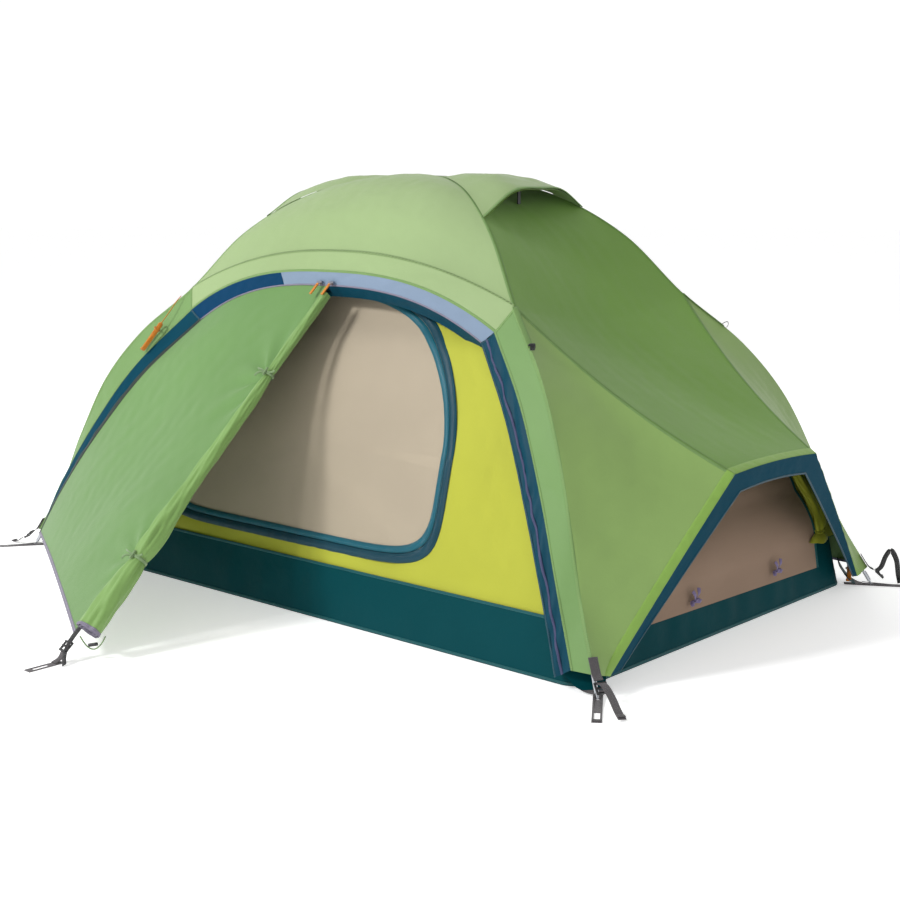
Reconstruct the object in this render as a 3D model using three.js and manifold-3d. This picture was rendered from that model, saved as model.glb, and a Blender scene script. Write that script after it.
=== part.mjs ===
// A two-person dome tent on poles: two long poles cross over the top and a short one lifts the front brow.
// A flysheet with a pegged-out vestibule covers an inner tent that hangs from the poles over a groundsheet.
// Millimetres, +Z up. The origin is on the ground in the middle of the groundsheet; the entrance faces -Y.

import * as THREE from "three";
import Module from "manifold-3d";
import { mergeVertices } from "three/addons/utils/BufferGeometryUtils.js";

// ---- Driving dimensions -------------------------------------------------------------------------

const HALF_LENGTH = 1100; // groundsheet, half of its long side
const HALF_WIDTH = 670; // groundsheet, half of its short side
const TUB_HEIGHT = 150; // the groundsheet's turned-up edge
const TUB_LEAN = 23; // how far that edge leans inwards
const TUB_CORNER = 60; // corner radius of the groundsheet

const DIAGONAL = new THREE.Vector2(1, 0.595).normalize(); // plan direction of a pole, first quadrant
// Ridge of the flysheet over one half pole, as [distance from the middle, height], corner to top.
const FLY_RIDGE = [
  [1350, 55], [1262, 200], [1180, 390], [1085, 575], [960, 725],
  [778, 872], [600, 1045], [400, 1158], [200, 1208], [0, 1222],
];
const KNEE = 5 / 9; // where the brow and the end seams meet the ridge, as a share of FLY_RIDGE
const RIDGE_TOP = 0.988; // the roof panels stop here, just short of the middle
// Corner seam of the inner tent, in the same terms.
const INNER_RIDGE = [
  [1253, 153], [1160, 330], [1075, 500], [960, 652], [850, 745],
  [735, 818], [575, 972], [385, 1084], [195, 1138], [0, 1152],
];

const POLE_RADIUS = 4.5;
const POLE_DEPTH = 16; // pole centre below the ridge of the flysheet
const POLE_CROSSING = 11; // height between the two pole centres where they cross
const POLE_FOOT = { r: 1338, z: 40 };
const BROW_POLE_DEPTH = 14.5; // its centre below the brow line
const END_ROD = { radius: 3, inset: 14 };
const TIP = { long: 44, lean: 0.55 }; // the metal end piece and its lean from upright, in radians
const HOOK = { ring: POLE_RADIUS + 2.7, wire: 1.7, tail: 30 };
const HOOK_AT = 0.741; // where the hooks of the inner tent hold the poles, as a share of a half pole

const FLY_THICK = 3; // cloth stand-in, measured towards the middle of the tent
const INNER_THICK = 2.5;
const HOOD_THICK = 2;
const WALL_FOOT = INNER_RIDGE[0][1];
const WALL_TOP = 1120; // the inner tent's walls stop here, under the crossing
const SEAM_GAP = 3; // clear distance from a panel's edge to its seam line

const ARCH_TOP = { brow: 1000, outer: 943, inner: 903 }; // heights over the entrance, at x = 0
const VESTIBULE_TIP = [0, -1328, 60];
const END_BROW = { x: 1226, y: 208, z: 472, lift: 8 }; // corners of the brow over each end opening
const END_BAND = 52; // width of the band round an end opening
const ROOF_SAG = 0.14; // how far the end roofs hang between their ridges, as a share of half their width
const HOOD_RIDGE = 6.7 / 9; // where a vent hood's lip meets the ridge
const HOOD_TOP = 0.93; // and where it ends near the crown
const HOOD_PEAK = [444, 0, 1178];
const HOOD_LIFT = 6; // above the ridge
const HOOD_SHOULDER = 14; // how far the lip bulges beside its peak
const PROP = { row: 12, height: 56, clear: 2 }; // a hood's strut: its row of the roof and its height

const DOOR = { x: 571, z: 480, up: 408, down: 268 }; // half width, centre height, reach up and down
const DOOR_GAP = 4; // between the door and its wall

const STRAP_WIDTH = 24;
const STRAP_THICK = 2;
const FLOOR_CLEAR = 0.4; // underside of the webbing above the ground
const GROMMET = 1364; // distance of the pole's grommet from the middle
const STRAP = { inner: -80, outer: 152, loopFrom: 88, loopTo: 136 }; // along a corner strap, from its grommet
const STRAP_TURN = { front: 0.42, back: 0 }; // how far a strap points forward of the diagonal, in radians
const BUCKLE = { r: 1372, z: 44, long: 30, wide: 32, thick: 4, tilt: 0.72 };
const VESTIBULE_STRAP = { from: 1368, to: 1468, loopFrom: 1408, loopTo: 1452, buckleY: 1340, buckleZ: 46 };

const ROLL = { foot: 34, top: 13, taper: 1.15, clear: 8 }; // radii of the rolled half, and its gap
const ROLL_TIES = { upper: 0.72, lower: 0.2 }; // where the roll is tied, as a share from its foot
const SLIDER = { long: 20, high: 9, deep: 6, x: 24, standOff: 5, above: 10 };
const PULL = { long: 42, wide: 8, thick: 3, lean: 0.82 };

const HANKS = { front: { long: 112, wide: 26, deep: 15 }, back: { long: 58, wide: 30, deep: 16 } };
const HANK_GAP = 0.6;
const CORD_RADIUS = 1.5;
// The stretch of each guyline from where it is sewn on to its hank.
const FRONT_LEAD = [
  [-688, -428, 846], [-692, -446, 828], [-696, -462, 806], [-702, -478, 784], [-709, -492, 764],
];
const BACK_LEAD = [
  [1146, 652, 60], [1140, 652, 70], [1130, 656, 77], [1120, 661, 75], [1115, 663, 66],
];

const COLOURS = {
  flyFront: 0x8ab576, flyRoof: 0xb0cd91, flyEnd: 0x658844, flyWall: 0x82a25f,
  band: 0x1e5a82, teal: 0x00505a, yellow: 0xcdd250, beige: 0xc3b4a0,
  webbing: 0x6e6969, plastic: 0x1b1b1d, pole: 0xb8bbc0, orange: 0xf0961e,
};

// ---- Small helpers ------------------------------------------------------------------------------

const vec = (x, y, z) => new THREE.Vector3(x, y, z);
const mix = (a, b, t) => a.clone().lerp(b, t);
const tent = new THREE.Group();

function add(name, geometry, colour, { roughness = 0.8, metalness = 0, parent = tent } = {}) {
  const material = new THREE.MeshStandardMaterial({ color: colour, roughness, metalness });
  const mesh = new THREE.Mesh(geometry, material);
  mesh.name = name;
  parent.add(mesh);
  return mesh;
}

// A point in the plane of a pole: distance from the middle, height, and the quarter of the tent.
function onDiagonal(r, z, sx, sy) {
  return vec(sx * DIAGONAL.x * r, sy * DIAGONAL.y * r, z);
}

function ridgeCurve(profile, sx, sy) {
  return new THREE.CatmullRomCurve3(profile.map(([r, z]) => onDiagonal(r, z, sx, sy)));
}

// Curves are functions of a share 0..1.
const straight = (a, b) => (t) => mix(a, b, t);
const bowed = (a, b, bow) => (t) => mix(a, b, t).addScaledVector(bow, 4 * t * (1 - t));
const stretch = (curve, from, to) => (t) => curve(from + (to - from) * t);
const through = (points) => {
  const curve = new THREE.CatmullRomCurve3(points);
  return (t) => curve.getPoint(t);
};
const joined = (first, second, at) => (t) => (t < at ? first(t / at) : second((t - at) / (1 - at)));

// A panel spanned between four curves that meet at its corners.
function panelPoint(bottom, top, left, right, u, v) {
  const across = mix(bottom(u), top(u), v);
  const along = mix(left(v), right(v), u);
  const corners = mix(mix(bottom(0), bottom(1), u), mix(top(0), top(1), u), v);
  return across.add(along).sub(corners);
}

function panelGrid(bottom, top, left, right, columns, rows, gap = SEAM_GAP) {
  const grid = [];
  for (let j = 0; j <= rows; j++) {
    const row = [];
    for (let i = 0; i <= columns; i++) {
      const u0 = i / columns;
      const v0 = j / rows;
      const edgeU = Math.min(0.2, gap / left(v0).distanceTo(right(v0)));
      const edgeV = Math.min(0.2, gap / bottom(u0).distanceTo(top(u0)));
      const u = edgeU + (1 - 2 * edgeU) * u0;
      const v = edgeV + (1 - 2 * edgeV) * v0;
      row.push(panelPoint(bottom, top, left, right, u, v));
    }
    grid.push(row);
  }
  return grid;
}

// Cloth is thickened towards one point inside the tent, so panels that share a seam never cross.
const MIDDLE = vec(0, 0, 300);
const inwards = (thick) => (p) => MIDDLE.clone().sub(p).setLength(thick);
const straightBack = (x, y) => () => vec(x, y, 0); // the inner tent's walls are thickened level

function signedVolume(points, faces) {
  let sum = 0;
  for (const [a, b, c] of faces) sum += points[a].dot(points[b].clone().cross(points[c]));
  return sum / 6;
}

function solidFrom(points, faces) {
  const outward = signedVolume(points, faces) > 0;
  const index = faces.flatMap(([a, b, c]) => (outward ? [a, b, c] : [a, c, b]));
  const geometry = new THREE.BufferGeometry().setFromPoints(points);
  geometry.setIndex(index);
  geometry.computeVertexNormals();
  return geometry;
}

// A closed shell from a grid of points. With ring, each row closes on itself, as round an opening.
function shell(grid, offset, ring = false) {
  const rows = grid.length;
  const columns = grid[0].length;
  const outer = grid.flat();
  const points = [...outer, ...outer.map((p) => p.clone().add(offset(p)))];
  const at = (j, i, side) => side * outer.length + j * columns + (i % columns);
  const faces = [];
  const quad = (a, b, c, d) => faces.push([a, b, c], [a, c, d]);
  const last = ring ? columns : columns - 1;
  for (let j = 0; j < rows - 1; j++) {
    for (let i = 0; i < last; i++) {
      quad(at(j, i, 0), at(j, i + 1, 0), at(j + 1, i + 1, 0), at(j + 1, i, 0));
      quad(at(j + 1, i + 1, 1), at(j, i + 1, 1), at(j, i, 1), at(j + 1, i, 1));
    }
  }
  for (let i = 0; i < last; i++) {
    quad(at(0, i + 1, 0), at(0, i, 0), at(0, i, 1), at(0, i + 1, 1));
    quad(at(rows - 1, i, 0), at(rows - 1, i + 1, 0), at(rows - 1, i + 1, 1), at(rows - 1, i, 1));
  }
  if (!ring) {
    for (let j = 0; j < rows - 1; j++) {
      quad(at(j, 0, 0), at(j + 1, 0, 0), at(j + 1, 0, 1), at(j, 0, 1));
      quad(at(j + 1, last, 0), at(j, last, 0), at(j, last, 1), at(j + 1, last, 1));
    }
  }
  return solidFrom(points, faces);
}

// A tube or any other section carried along a curve, closed at both ends.
function sweep(curve, steps, radius, sides = 8) {
  const section = new THREE.Shape();
  for (let k = 0; k < sides; k++) {
    const angle = (2 * Math.PI * k) / sides;
    section[k ? "lineTo" : "moveTo"](radius * Math.cos(angle), radius * Math.sin(angle));
  }
  section.closePath();
  return new THREE.ExtrudeGeometry(section, { steps, bevelEnabled: false, extrudePath: curve });
}

// A flat plate from an outline and holes, all as lists of [x, y].
function plate(outline, holes, thick) {
  const toShape = (kind, list) => new kind(list.map(([x, y]) => new THREE.Vector2(x, y)));
  const shape = toShape(THREE.Shape, outline);
  shape.holes = holes.map((hole) => toShape(THREE.Path, hole));
  return new THREE.ExtrudeGeometry(shape, { depth: thick, bevelEnabled: false });
}

const rectangle = (x0, y0, x1, y1) => [[x0, y0], [x1, y0], [x1, y1], [x0, y1]];
const circle = (x, y, r, n = 10) =>
  Array.from({ length: n }, (_, k) => [
    x + r * Math.cos((2 * Math.PI * k) / n),
    y + r * Math.sin((2 * Math.PI * k) / n),
  ]);

// ---- Booleans -----------------------------------------------------------------------------------

const wasm = await Module();
wasm.setup();

function toSolid(geometry) {
  const bare = geometry.clone();
  bare.deleteAttribute("normal");
  bare.deleteAttribute("uv");
  const merged = mergeVertices(bare, 1e-3);
  const vertProperties = new Float32Array(merged.attributes.position.array);
  const triVerts = new Uint32Array(merged.index.array);
  return new wasm.Manifold(new wasm.Mesh({ numProp: 3, vertProperties, triVerts }));
}

function toGeometry(solid) {
  const mesh = solid.getMesh();
  const geometry = new THREE.BufferGeometry();
  geometry.setAttribute("position", new THREE.BufferAttribute(mesh.vertProperties, 3));
  geometry.setIndex(new THREE.BufferAttribute(mesh.triVerts, 1));
  geometry.computeVertexNormals();
  return geometry;
}

// ---- Seam lines of the flysheet -----------------------------------------------------------------

const END_SIDES = [["right", 1], ["left", -1]];
const DEPTH_SIDES = [["front", -1], ["back", 1]];

const flyRidge = (sx, sy) => {
  const curve = ridgeCurve(FLY_RIDGE, sx, sy);
  return (t) => curve.getPoint(t);
};
const knee = (sx, sy) => flyRidge(sx, sy)(KNEE);
const flyCorner = (sx, sy) => flyRidge(sx, sy)(0);

// The three arched lines over the entrance, from left to right.
const browLine = (t) => {
  const x = 2 * t - 1;
  const end = knee(1, -1);
  const rise = 1 - Math.abs(x) ** 2.2;
  return vec(x * end.x, end.y - 4 * rise, end.z + (ARCH_TOP.brow - end.z) * rise);
};
const archLine = (halfSpan, y, low, high) => (t) => {
  const x = 2 * t - 1;
  return vec(x * halfSpan, y, low + (high - low) * (1 - Math.abs(x) ** 2.6));
};
const INNER_ARCH_HALF = 583;
const archOuter = archLine(628, -433, 806, ARCH_TOP.outer);
const archInner = archLine(INNER_ARCH_HALF, -433, 775, ARCH_TOP.inner);

// The legs of the entrance, from the ground up. The left one is zipped shut and stands further out.
const legUpTo = (top, points) => through([...points.map((p) => vec(...p)), top]);
const legOuter = {
  right: legUpTo(archOuter(1), [[1092, -697, 54], [1028, -664, 199], [927, -606, 417], [804, -537, 629]]),
  left: legUpTo(archOuter(0), [[-1136, -697, 58], [-1046, -666, 230], [-925, -612, 430], [-793, -540, 622]]),
};
const legInner = {
  right: legUpTo(archInner(1), [[1052, -707, 30], [990, -675, 180], [885, -616, 390], [764, -546, 592]]),
  left: legUpTo(archInner(0), [[-1108, -722, 54], [-1010, -684, 222], [-886, -626, 412], [-757, -550, 590]]),
};

// ---- Flysheet -----------------------------------------------------------------------------------

function flyFront() {
  const left = stretch(flyRidge(-1, -1), KNEE, RIDGE_TOP);
  const right = stretch(flyRidge(1, -1), KNEE, RIDGE_TOP);
  const crown = bowed(left(1), right(1), vec(0, 14, 1));
  const roof = panelGrid(browLine, crown, left, right, 12, 6);
  add("fly_front_roof", shell(roof, inwards(FLY_THICK)), COLOURS.flyRoof);

  const fall = (t) => straight(archOuter(t), browLine(t));
  const brow = panelGrid(archOuter, browLine, fall(0), fall(1), 12, 2);
  add("fly_front_brow", shell(brow, inwards(FLY_THICK)), COLOURS.flyFront);

  for (const [side, sx] of END_SIDES) {
    const ridge = stretch(flyRidge(sx, -1), 0, KNEE);
    const leg = legOuter[side];
    const foot = straight(leg(0), ridge(0));
    const panel = panelGrid(foot, straight(leg(1), ridge(1)), leg, ridge, 2, 10);
    add(`fly_front_leg_${side}`, shell(panel, inwards(FLY_THICK)), COLOURS.flyFront);
  }
}

// The band that frames the entrance, with the zip under it: one strip up, over and down again.
function entranceBand() {
  const path = (leg, arch) => (t) => {
    if (t < 0.35) return leg.right(t / 0.35);
    if (t < 0.65) return arch(1 - (t - 0.35) / 0.3);
    return leg.left(1 - (t - 0.65) / 0.35);
  };
  const outer = path(legOuter, archOuter);
  const inner = path(legInner, archInner);
  const ends = [straight(outer(0), inner(0)), straight(outer(1), inner(1))];
  const band = panelGrid(outer, inner, ends[0], ends[1], 40, 1, 2);
  add("fly_entrance_band", shell(band, inwards(FLY_THICK)), COLOURS.band);
}

// Cloth stretched between two ridges hangs a little lower in the middle of each row.
function sagBetween(grid, share) {
  const rows = grid.length - 1;
  grid.forEach((row, j) => {
    const columns = row.length - 1;
    const depth = share * 0.5 * row[0].distanceTo(row[columns]) * Math.sin((Math.PI * j) / rows);
    row.forEach((p, i) => (p.z -= (4 * depth * i * (columns - i)) / columns ** 2));
  });
}

const browCorner = (sx, sy) => vec(sx * END_BROW.x, sy * END_BROW.y, END_BROW.z);
const endLegFoot = (sx, sy) => vec(sx * 1158, sy * 630, 38);
const endSeamBow = (sx) => vec(-sx * 14, 0, -22);

function flyEnds() {
  for (const [side, sx] of END_SIDES) {
    const brow = bowed(browCorner(sx, -1), browCorner(sx, 1), vec(0, 0, END_BROW.lift));
    const edge = (sy) =>
      joined(
        bowed(browCorner(sx, sy), knee(sx, sy), endSeamBow(sx)),
        stretch(flyRidge(sx, sy), KNEE, RIDGE_TOP),
        0.5,
      );
    const crown = straight(edge(-1)(1), edge(1)(1));
    const roof = panelGrid(brow, crown, edge(-1), edge(1), 10, 16);
    sagBetween(roof, ROOF_SAG);
    add(`fly_end_roof_${side}`, shell(roof, inwards(FLY_THICK)), COLOURS.flyEnd);
    ventProp(side, sx, roof[PROP.row][5]);

    for (const [depth, sy] of DEPTH_SIDES) {
      const ridge = stretch(flyRidge(sx, sy), 0, KNEE);
      const foot = endLegFoot(sx, sy);
      const leg = bowed(foot, browCorner(sx, sy), vec(0, sy * 6, 0));
      const seam = bowed(knee(sx, sy), browCorner(sx, sy), endSeamBow(sx));
      const wall = panelGrid(straight(ridge(0), foot), seam, ridge, leg, 6, 8);
      add(`fly_end_wall_${side}_${depth}`, shell(wall, inwards(FLY_THICK)), COLOURS.flyWall);
    }
    endBand(side, sx);
  }
}

// The band round an end opening: up the front leg, along under the brow and down the back leg.
function endBand(side, sx) {
  const outerLeg = (sy) => bowed(endLegFoot(sx, sy), browCorner(sx, sy), vec(0, sy * 6, 0));
  const innerTop = (sy) => vec(sx * (END_BROW.x - 8), sy * (END_BROW.y - 42), END_BROW.z - END_BAND);
  const innerFoot = (sy) => vec(sx * 1153, sy * (630 - END_BAND), 40);
  const innerLeg = (sy) => bowed(innerFoot(sy), innerTop(sy), vec(0, sy * 6, 0));
  const strip = (leg, over) => (t) => {
    if (t < 0.4) return leg(-1)(t / 0.4);
    if (t < 0.6) return over((t - 0.4) / 0.2);
    return leg(1)(1 - (t - 0.6) / 0.4);
  };
  const lift = vec(0, 0, END_BROW.lift);
  const outer = strip(outerLeg, bowed(browCorner(sx, -1), browCorner(sx, 1), lift));
  const inner = strip(innerLeg, bowed(innerTop(-1), innerTop(1), lift));
  const ends = [straight(outer(0), inner(0)), straight(outer(1), inner(1))];
  const band = panelGrid(outer, inner, ends[0], ends[1], 20, 1, 2);
  add(`fly_end_band_${side}`, shell(band, inwards(FLY_THICK)), COLOURS.teal);
}

function flyBack() {
  const left = stretch(flyRidge(-1, 1), 0, RIDGE_TOP);
  const right = stretch(flyRidge(1, 1), 0, RIDGE_TOP);
  const hem = bowed(left(0), right(0), vec(0, 45, 12));
  const panel = panelGrid(hem, straight(left(1), right(1)), left, right, 10, 12);
  add("fly_back", shell(panel, inwards(FLY_THICK)), COLOURS.flyFront);
}

// Each vent hood is a second layer over the end roof, sewn along both ridges and open at its lip.
function ventHoods() {
  for (const [side, sx] of END_SIDES) {
    const lipEnd = (sy) => flyRidge(sx, sy)(HOOD_RIDGE).add(vec(0, 0, HOOD_LIFT));
    const peak = vec(sx * HOOD_PEAK[0], HOOD_PEAK[1], HOOD_PEAK[2]);
    const shoulder = (sy) => mix(lipEnd(sy), peak, 0.55).add(vec(0, 0, HOOD_SHOULDER));
    const lip = through([lipEnd(-1), shoulder(-1), peak, shoulder(1), lipEnd(1)]);
    const sewn = (sy) => stretch(flyRidge(sx, sy), HOOD_RIDGE, HOOD_TOP);
    const seam = (sy) => (t) => sewn(sy)(t).add(vec(0, 0, HOOD_LIFT));
    const top = straight(seam(-1)(1), seam(1)(1));
    const hood = panelGrid(lip, top, seam(-1), seam(1), 10, 4, 1);
    add(`vent_hood_${side}`, shell(hood, () => vec(0, 0, HOOD_THICK)), COLOURS.flyRoof);
  }
}

// The strut that props a hood: a post with a cross bar on top, hinged at its foot on the roof.
function ventProp(side, sx, roofPoint) {
  const post = new THREE.BoxGeometry(3, 12, PROP.height).translate(0, 0, PROP.height / 2);
  const bar = new THREE.BoxGeometry(3, 64, 6).translate(0, 0, PROP.height);
  const strut = toGeometry(toSolid(post).add(toSolid(bar)));
  const mesh = add(`vent_prop_${side}`, strut, COLOURS.plastic);
  mesh.position.set(roofPoint.x, 0, roofPoint.z + PROP.clear);
}

// ---- Vestibule ----------------------------------------------------------------------------------

const vestibuleTip = vec(...VESTIBULE_TIP);
const archTop = archInner(0.5);
const rollLine = (t) => mix(vestibuleTip, archTop, t);

function vestibule() {
  const left = legInner.left;
  const hem = bowed(left(0), vestibuleTip, vec(0, 0, 14));
  const arch = stretch(archInner, 0, 0.5);
  const edge = bowed(vestibuleTip, archTop, vec(0, 14, -14));
  const panel = panelGrid(hem, arch, left, edge, 10, 12, 4);
  add("vestibule_left_panel", shell(panel, inwards(FLY_THICK)), COLOURS.flyFront);

  // The right half is rolled up along the middle line, thick at the foot and thin at the arch.
  const along = archTop.clone().sub(vestibuleTip).normalize();
  const up = vec(1, 0, 0).cross(along).normalize();
  const loops = [];
  for (let j = 0; j <= 14; j++) {
    const t = 0.015 + (0.96 * j) / 14;
    const radius = rollRadius(t);
    const centre = rollCentre(t);
    loops.push(
      Array.from({ length: 10 }, (_, k) => {
        const angle = (2 * Math.PI * k) / 10;
        return centre.clone()
          .addScaledVector(vec(1, 0, 0), radius * Math.cos(angle))
          .addScaledVector(up, radius * Math.sin(angle));
      }),
    );
  }
  add("vestibule_roll", loft(loops), COLOURS.flyFront);

  for (const [name, t] of Object.entries(ROLL_TIES)) {
    const ring = new THREE.TorusGeometry(rollRadius(t) + 3.2, 1.6, 6, 16);
    const mesh = add(`roll_tie_${name}`, ring, COLOURS.flyWall);
    mesh.quaternion.setFromUnitVectors(vec(0, 0, 1), along);
    mesh.position.copy(rollCentre(t));
  }
}

const rollRadius = (t) => ROLL.foot + (ROLL.top - ROLL.foot) * Math.min(1, t * ROLL.taper);
const rollCentre = (t) => rollLine(t).add(vec(rollRadius(t) + ROLL.clear, 0, 0));

// Closed loops of equal length joined into a solid, with a flat cap at each end.
function loft(loops) {
  const n = loops[0].length;
  const points = loops.flat();
  const faces = [];
  for (let j = 0; j < loops.length - 1; j++) {
    for (let k = 0; k < n; k++) {
      const a = j * n + k;
      const b = j * n + ((k + 1) % n);
      faces.push([a, b, b + n], [a, b + n, a + n]);
    }
  }
  const top = (loops.length - 1) * n;
  for (let k = 1; k < n - 1; k++) {
    faces.push([0, k + 1, k], [top, top + k, top + k + 1]);
  }
  return solidFrom(points, faces);
}

// ---- Zip sliders over the entrance --------------------------------------------------------------

function zipSliders() {
  for (const [side, sx] of END_SIDES) {
    const seam = archInner(0.5 + (sx * SLIDER.x) / (2 * INNER_ARCH_HALF));
    const place = seam.add(vec(0, -(SLIDER.deep / 2 + SLIDER.standOff), SLIDER.above));
    const body = new THREE.BoxGeometry(SLIDER.long, SLIDER.deep, SLIDER.high);
    add(`zip_slider_${side}`, body, COLOURS.pole).position.copy(place);
    const outline = rectangle(-PULL.wide / 2, -PULL.long, PULL.wide / 2, 0);
    const tab = plate(outline, [circle(0, -6, 2, 8)], PULL.thick);
    const pull = add(`zip_pull_${side}`, tab, COLOURS.orange);
    pull.rotation.set(Math.PI / 2 - PULL.lean, 0, 0);
    pull.position.copy(place).add(vec(0, -(SLIDER.deep / 2 + 4), -3));
  }
}

// ---- Poles --------------------------------------------------------------------------------------

// The line of a pole's centre under one ridge, from its foot to the middle.
function poleProfile() {
  const under = [];
  for (let k = 1; k < FLY_RIDGE.length; k++) {
    const before = FLY_RIDGE[k - 1];
    const after = FLY_RIDGE[Math.min(k + 1, FLY_RIDGE.length - 1)];
    const along = new THREE.Vector2(after[0] - before[0], after[1] - before[1]).normalize();
    const last = k === FLY_RIDGE.length - 1;
    under.push([
      last ? 0 : FLY_RIDGE[k][0] - along.y * POLE_DEPTH,
      FLY_RIDGE[k][1] - (last ? POLE_DEPTH : -along.x * POLE_DEPTH),
    ]);
  }
  return [[POLE_FOOT.r, POLE_FOOT.z], ...under];
}

function poles() {
  const profile = poleProfile();
  const half = profile.length - 1;
  const alloy = { roughness: 0.35, metalness: 0.9 };
  for (const [name, sy, drop] of [["a", 1, 0], ["b", -1, POLE_CROSSING]]) {
    const quarter = (sign) => profile.map(([r, z], k) => {
      const share = Math.max(0, (k - half + 2) / 2);
      return onDiagonal(r, z - drop * share, sign, sign * sy);
    });
    const points = [...quarter(-1), ...quarter(1).slice(0, -1).reverse()];
    const curve = new THREE.CatmullRomCurve3(points);
    add(`pole_${name}`, sweep(curve, 64, POLE_RADIUS), COLOURS.pole, alloy);
  }

  const brow = [];
  for (let k = 1; k < 16; k++) {
    brow.push(browLine(0.025 + (0.95 * k) / 16).add(vec(0, 12, -BROW_POLE_DEPTH)));
  }
  const front = new THREE.CatmullRomCurve3(brow);
  add("pole_brow", sweep(front, 24, POLE_RADIUS - 0.5), COLOURS.pole, alloy);

  for (const [side, sx] of END_SIDES) {
    const rod = [];
    for (let k = 0; k <= 4; k++) {
      const y = (k / 2 - 1) * (END_BROW.y - END_ROD.inset);
      const lift = END_BROW.lift * (1 - (k / 2 - 1) ** 2);
      rod.push(vec(sx * (END_BROW.x - END_ROD.inset), y, END_BROW.z - END_ROD.inset + lift));
    }
    const bend = new THREE.CatmullRomCurve3(rod);
    add(`pole_end_${side}`, sweep(bend, 8, END_ROD.radius), COLOURS.pole, alloy);
  }

  const ring = new THREE.TorusGeometry(16, 2.2, 6, 16).rotateY(Math.PI / 2);
  const mesh = add("crossing_ring", ring, COLOURS.plastic);
  mesh.position.set(0, 0, FLY_RIDGE.at(-1)[1] - POLE_DEPTH - POLE_CROSSING / 2 - 2);
}

// ---- Corners ------------------------------------------------------------------------------------

function corners() {
  for (const [depth, sy] of DEPTH_SIDES) {
    for (const [side, sx] of END_SIDES) {
      const corner = `${depth}_${side}`;
      const turn = Math.atan2(sy * DIAGONAL.y, sx * DIAGONAL.x);
      const holder = new THREE.Group();
      holder.rotation.z = turn;
      tent.add(holder);

      const w = STRAP_WIDTH / 2;
      const loop = rectangle(STRAP.loopFrom, -w + 5, STRAP.loopTo, w - 5);
      const outline = rectangle(STRAP.inner, -w, STRAP.outer, w);
      const webbing = plate(outline, [circle(0, 0, 5.5, 12), loop], STRAP_THICK);
      const strap = add(`corner_strap_${corner}`, webbing, COLOURS.webbing, { parent: holder });
      strap.rotation.z = -sx * STRAP_TURN[depth];
      strap.position.set(GROMMET, 0, FLOOR_CLEAR);

      const profile = [[0, 0], [3, 1], [3, 12], [5.5, 13], [5.5, TIP.long], [0, TIP.long]];
      const tip = new THREE.LatheGeometry(profile.map(([x, y]) => new THREE.Vector2(x, y)), 10);
      tip.rotateX(Math.PI / 2);
      const metal = { roughness: 0.3, metalness: 1, parent: holder };
      const mesh = add(`pole_tip_${corner}`, tip, COLOURS.pole, metal);
      mesh.rotation.y = -TIP.lean;
      mesh.position.set(GROMMET, 0, 3.2);

      const buckle = buckleGeometry();
      const lock = add(`corner_buckle_${corner}`, buckle, COLOURS.plastic, { parent: holder });
      lock.rotation.set(0, BUCKLE.tilt, 0);
      lock.position.set(BUCKLE.r, 0, BUCKLE.z);
    }
  }
}

// A ladder-lock: a frame with two slots for the webbing.
function buckleGeometry() {
  const { long, wide, thick } = BUCKLE;
  const w = wide / 2;
  const slots = [rectangle(4, -w + 4, 12, w - 4), rectangle(17, -w + 5, 25, w - 5)];
  return plate(rectangle(0, -w, long, w), slots, thick);
}

function vestibuleAnchor() {
  const w = STRAP_WIDTH / 2;
  const { from, to, loopFrom, loopTo, buckleY, buckleZ } = VESTIBULE_STRAP;
  const loop = rectangle(-w + 5, -loopTo, w - 5, -loopFrom);
  const strap = plate(rectangle(-w, -to, w, -from), [loop], STRAP_THICK);
  add("vestibule_strap", strap, COLOURS.webbing).position.z = FLOOR_CLEAR;
  const lock = add("vestibule_buckle", buckleGeometry(), COLOURS.plastic);
  lock.rotation.set(0, BUCKLE.tilt, -Math.PI / 2, "ZYX");
  lock.position.set(0, -buckleY, buckleZ);
}

// ---- Inner tent ---------------------------------------------------------------------------------

const innerCurve = ridgeCurve(INNER_RIDGE, 1, 1);

// Distance of the inner seam from the middle at a height.
function innerReach(z) {
  let low = 0;
  let high = 1;
  for (let k = 0; k < 30; k++) {
    const t = (low + high) / 2;
    if (innerCurve.getPoint(t).z < z) low = t;
    else high = t;
  }
  const p = innerCurve.getPoint(low);
  return Math.hypot(p.x, p.y);
}

// The front wall between its corner seams, round an opening given as reach from a centre by angle.
function frontWall(hole) {
  const rim = [];
  const foot = 14;
  const side = 12;
  const inset = (z) => halfLength(z) - SEAM_GAP;
  for (let k = 0; k < foot; k++) rim.push([inset(WALL_FOOT) * (2 * (k / foot) - 1), WALL_FOOT]);
  for (let k = 0; k < side; k++) {
    const z = WALL_FOOT + (WALL_TOP - WALL_FOOT) * (k / side);
    rim.push([inset(z), z]);
  }
  const crown = 8;
  for (let k = 0; k <= crown; k++) rim.push([inset(WALL_TOP) * (1 - (2 * k) / crown), WALL_TOP]);
  for (let k = side - 1; k > 0; k--) {
    const z = WALL_FOOT + (WALL_TOP - WALL_FOOT) * (k / side);
    rim.push([-inset(z), z]);
  }
  const rows = [];
  for (const share of [0, 0.33, 0.67, 1]) {
    rows.push(
      rim.map(([x, z]) => {
        const angle = Math.atan2(z - hole.z, x);
        const reach = hole.reach(angle);
        const hx = reach * Math.cos(angle);
        const hz = hole.z + reach * Math.sin(angle);
        return frontWallPoint(hx + (x - hx) * share, hz + (z - hz) * share);
      }),
    );
  }
  return shell(rows, straightBack(0, INNER_THICK), true);
}

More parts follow.
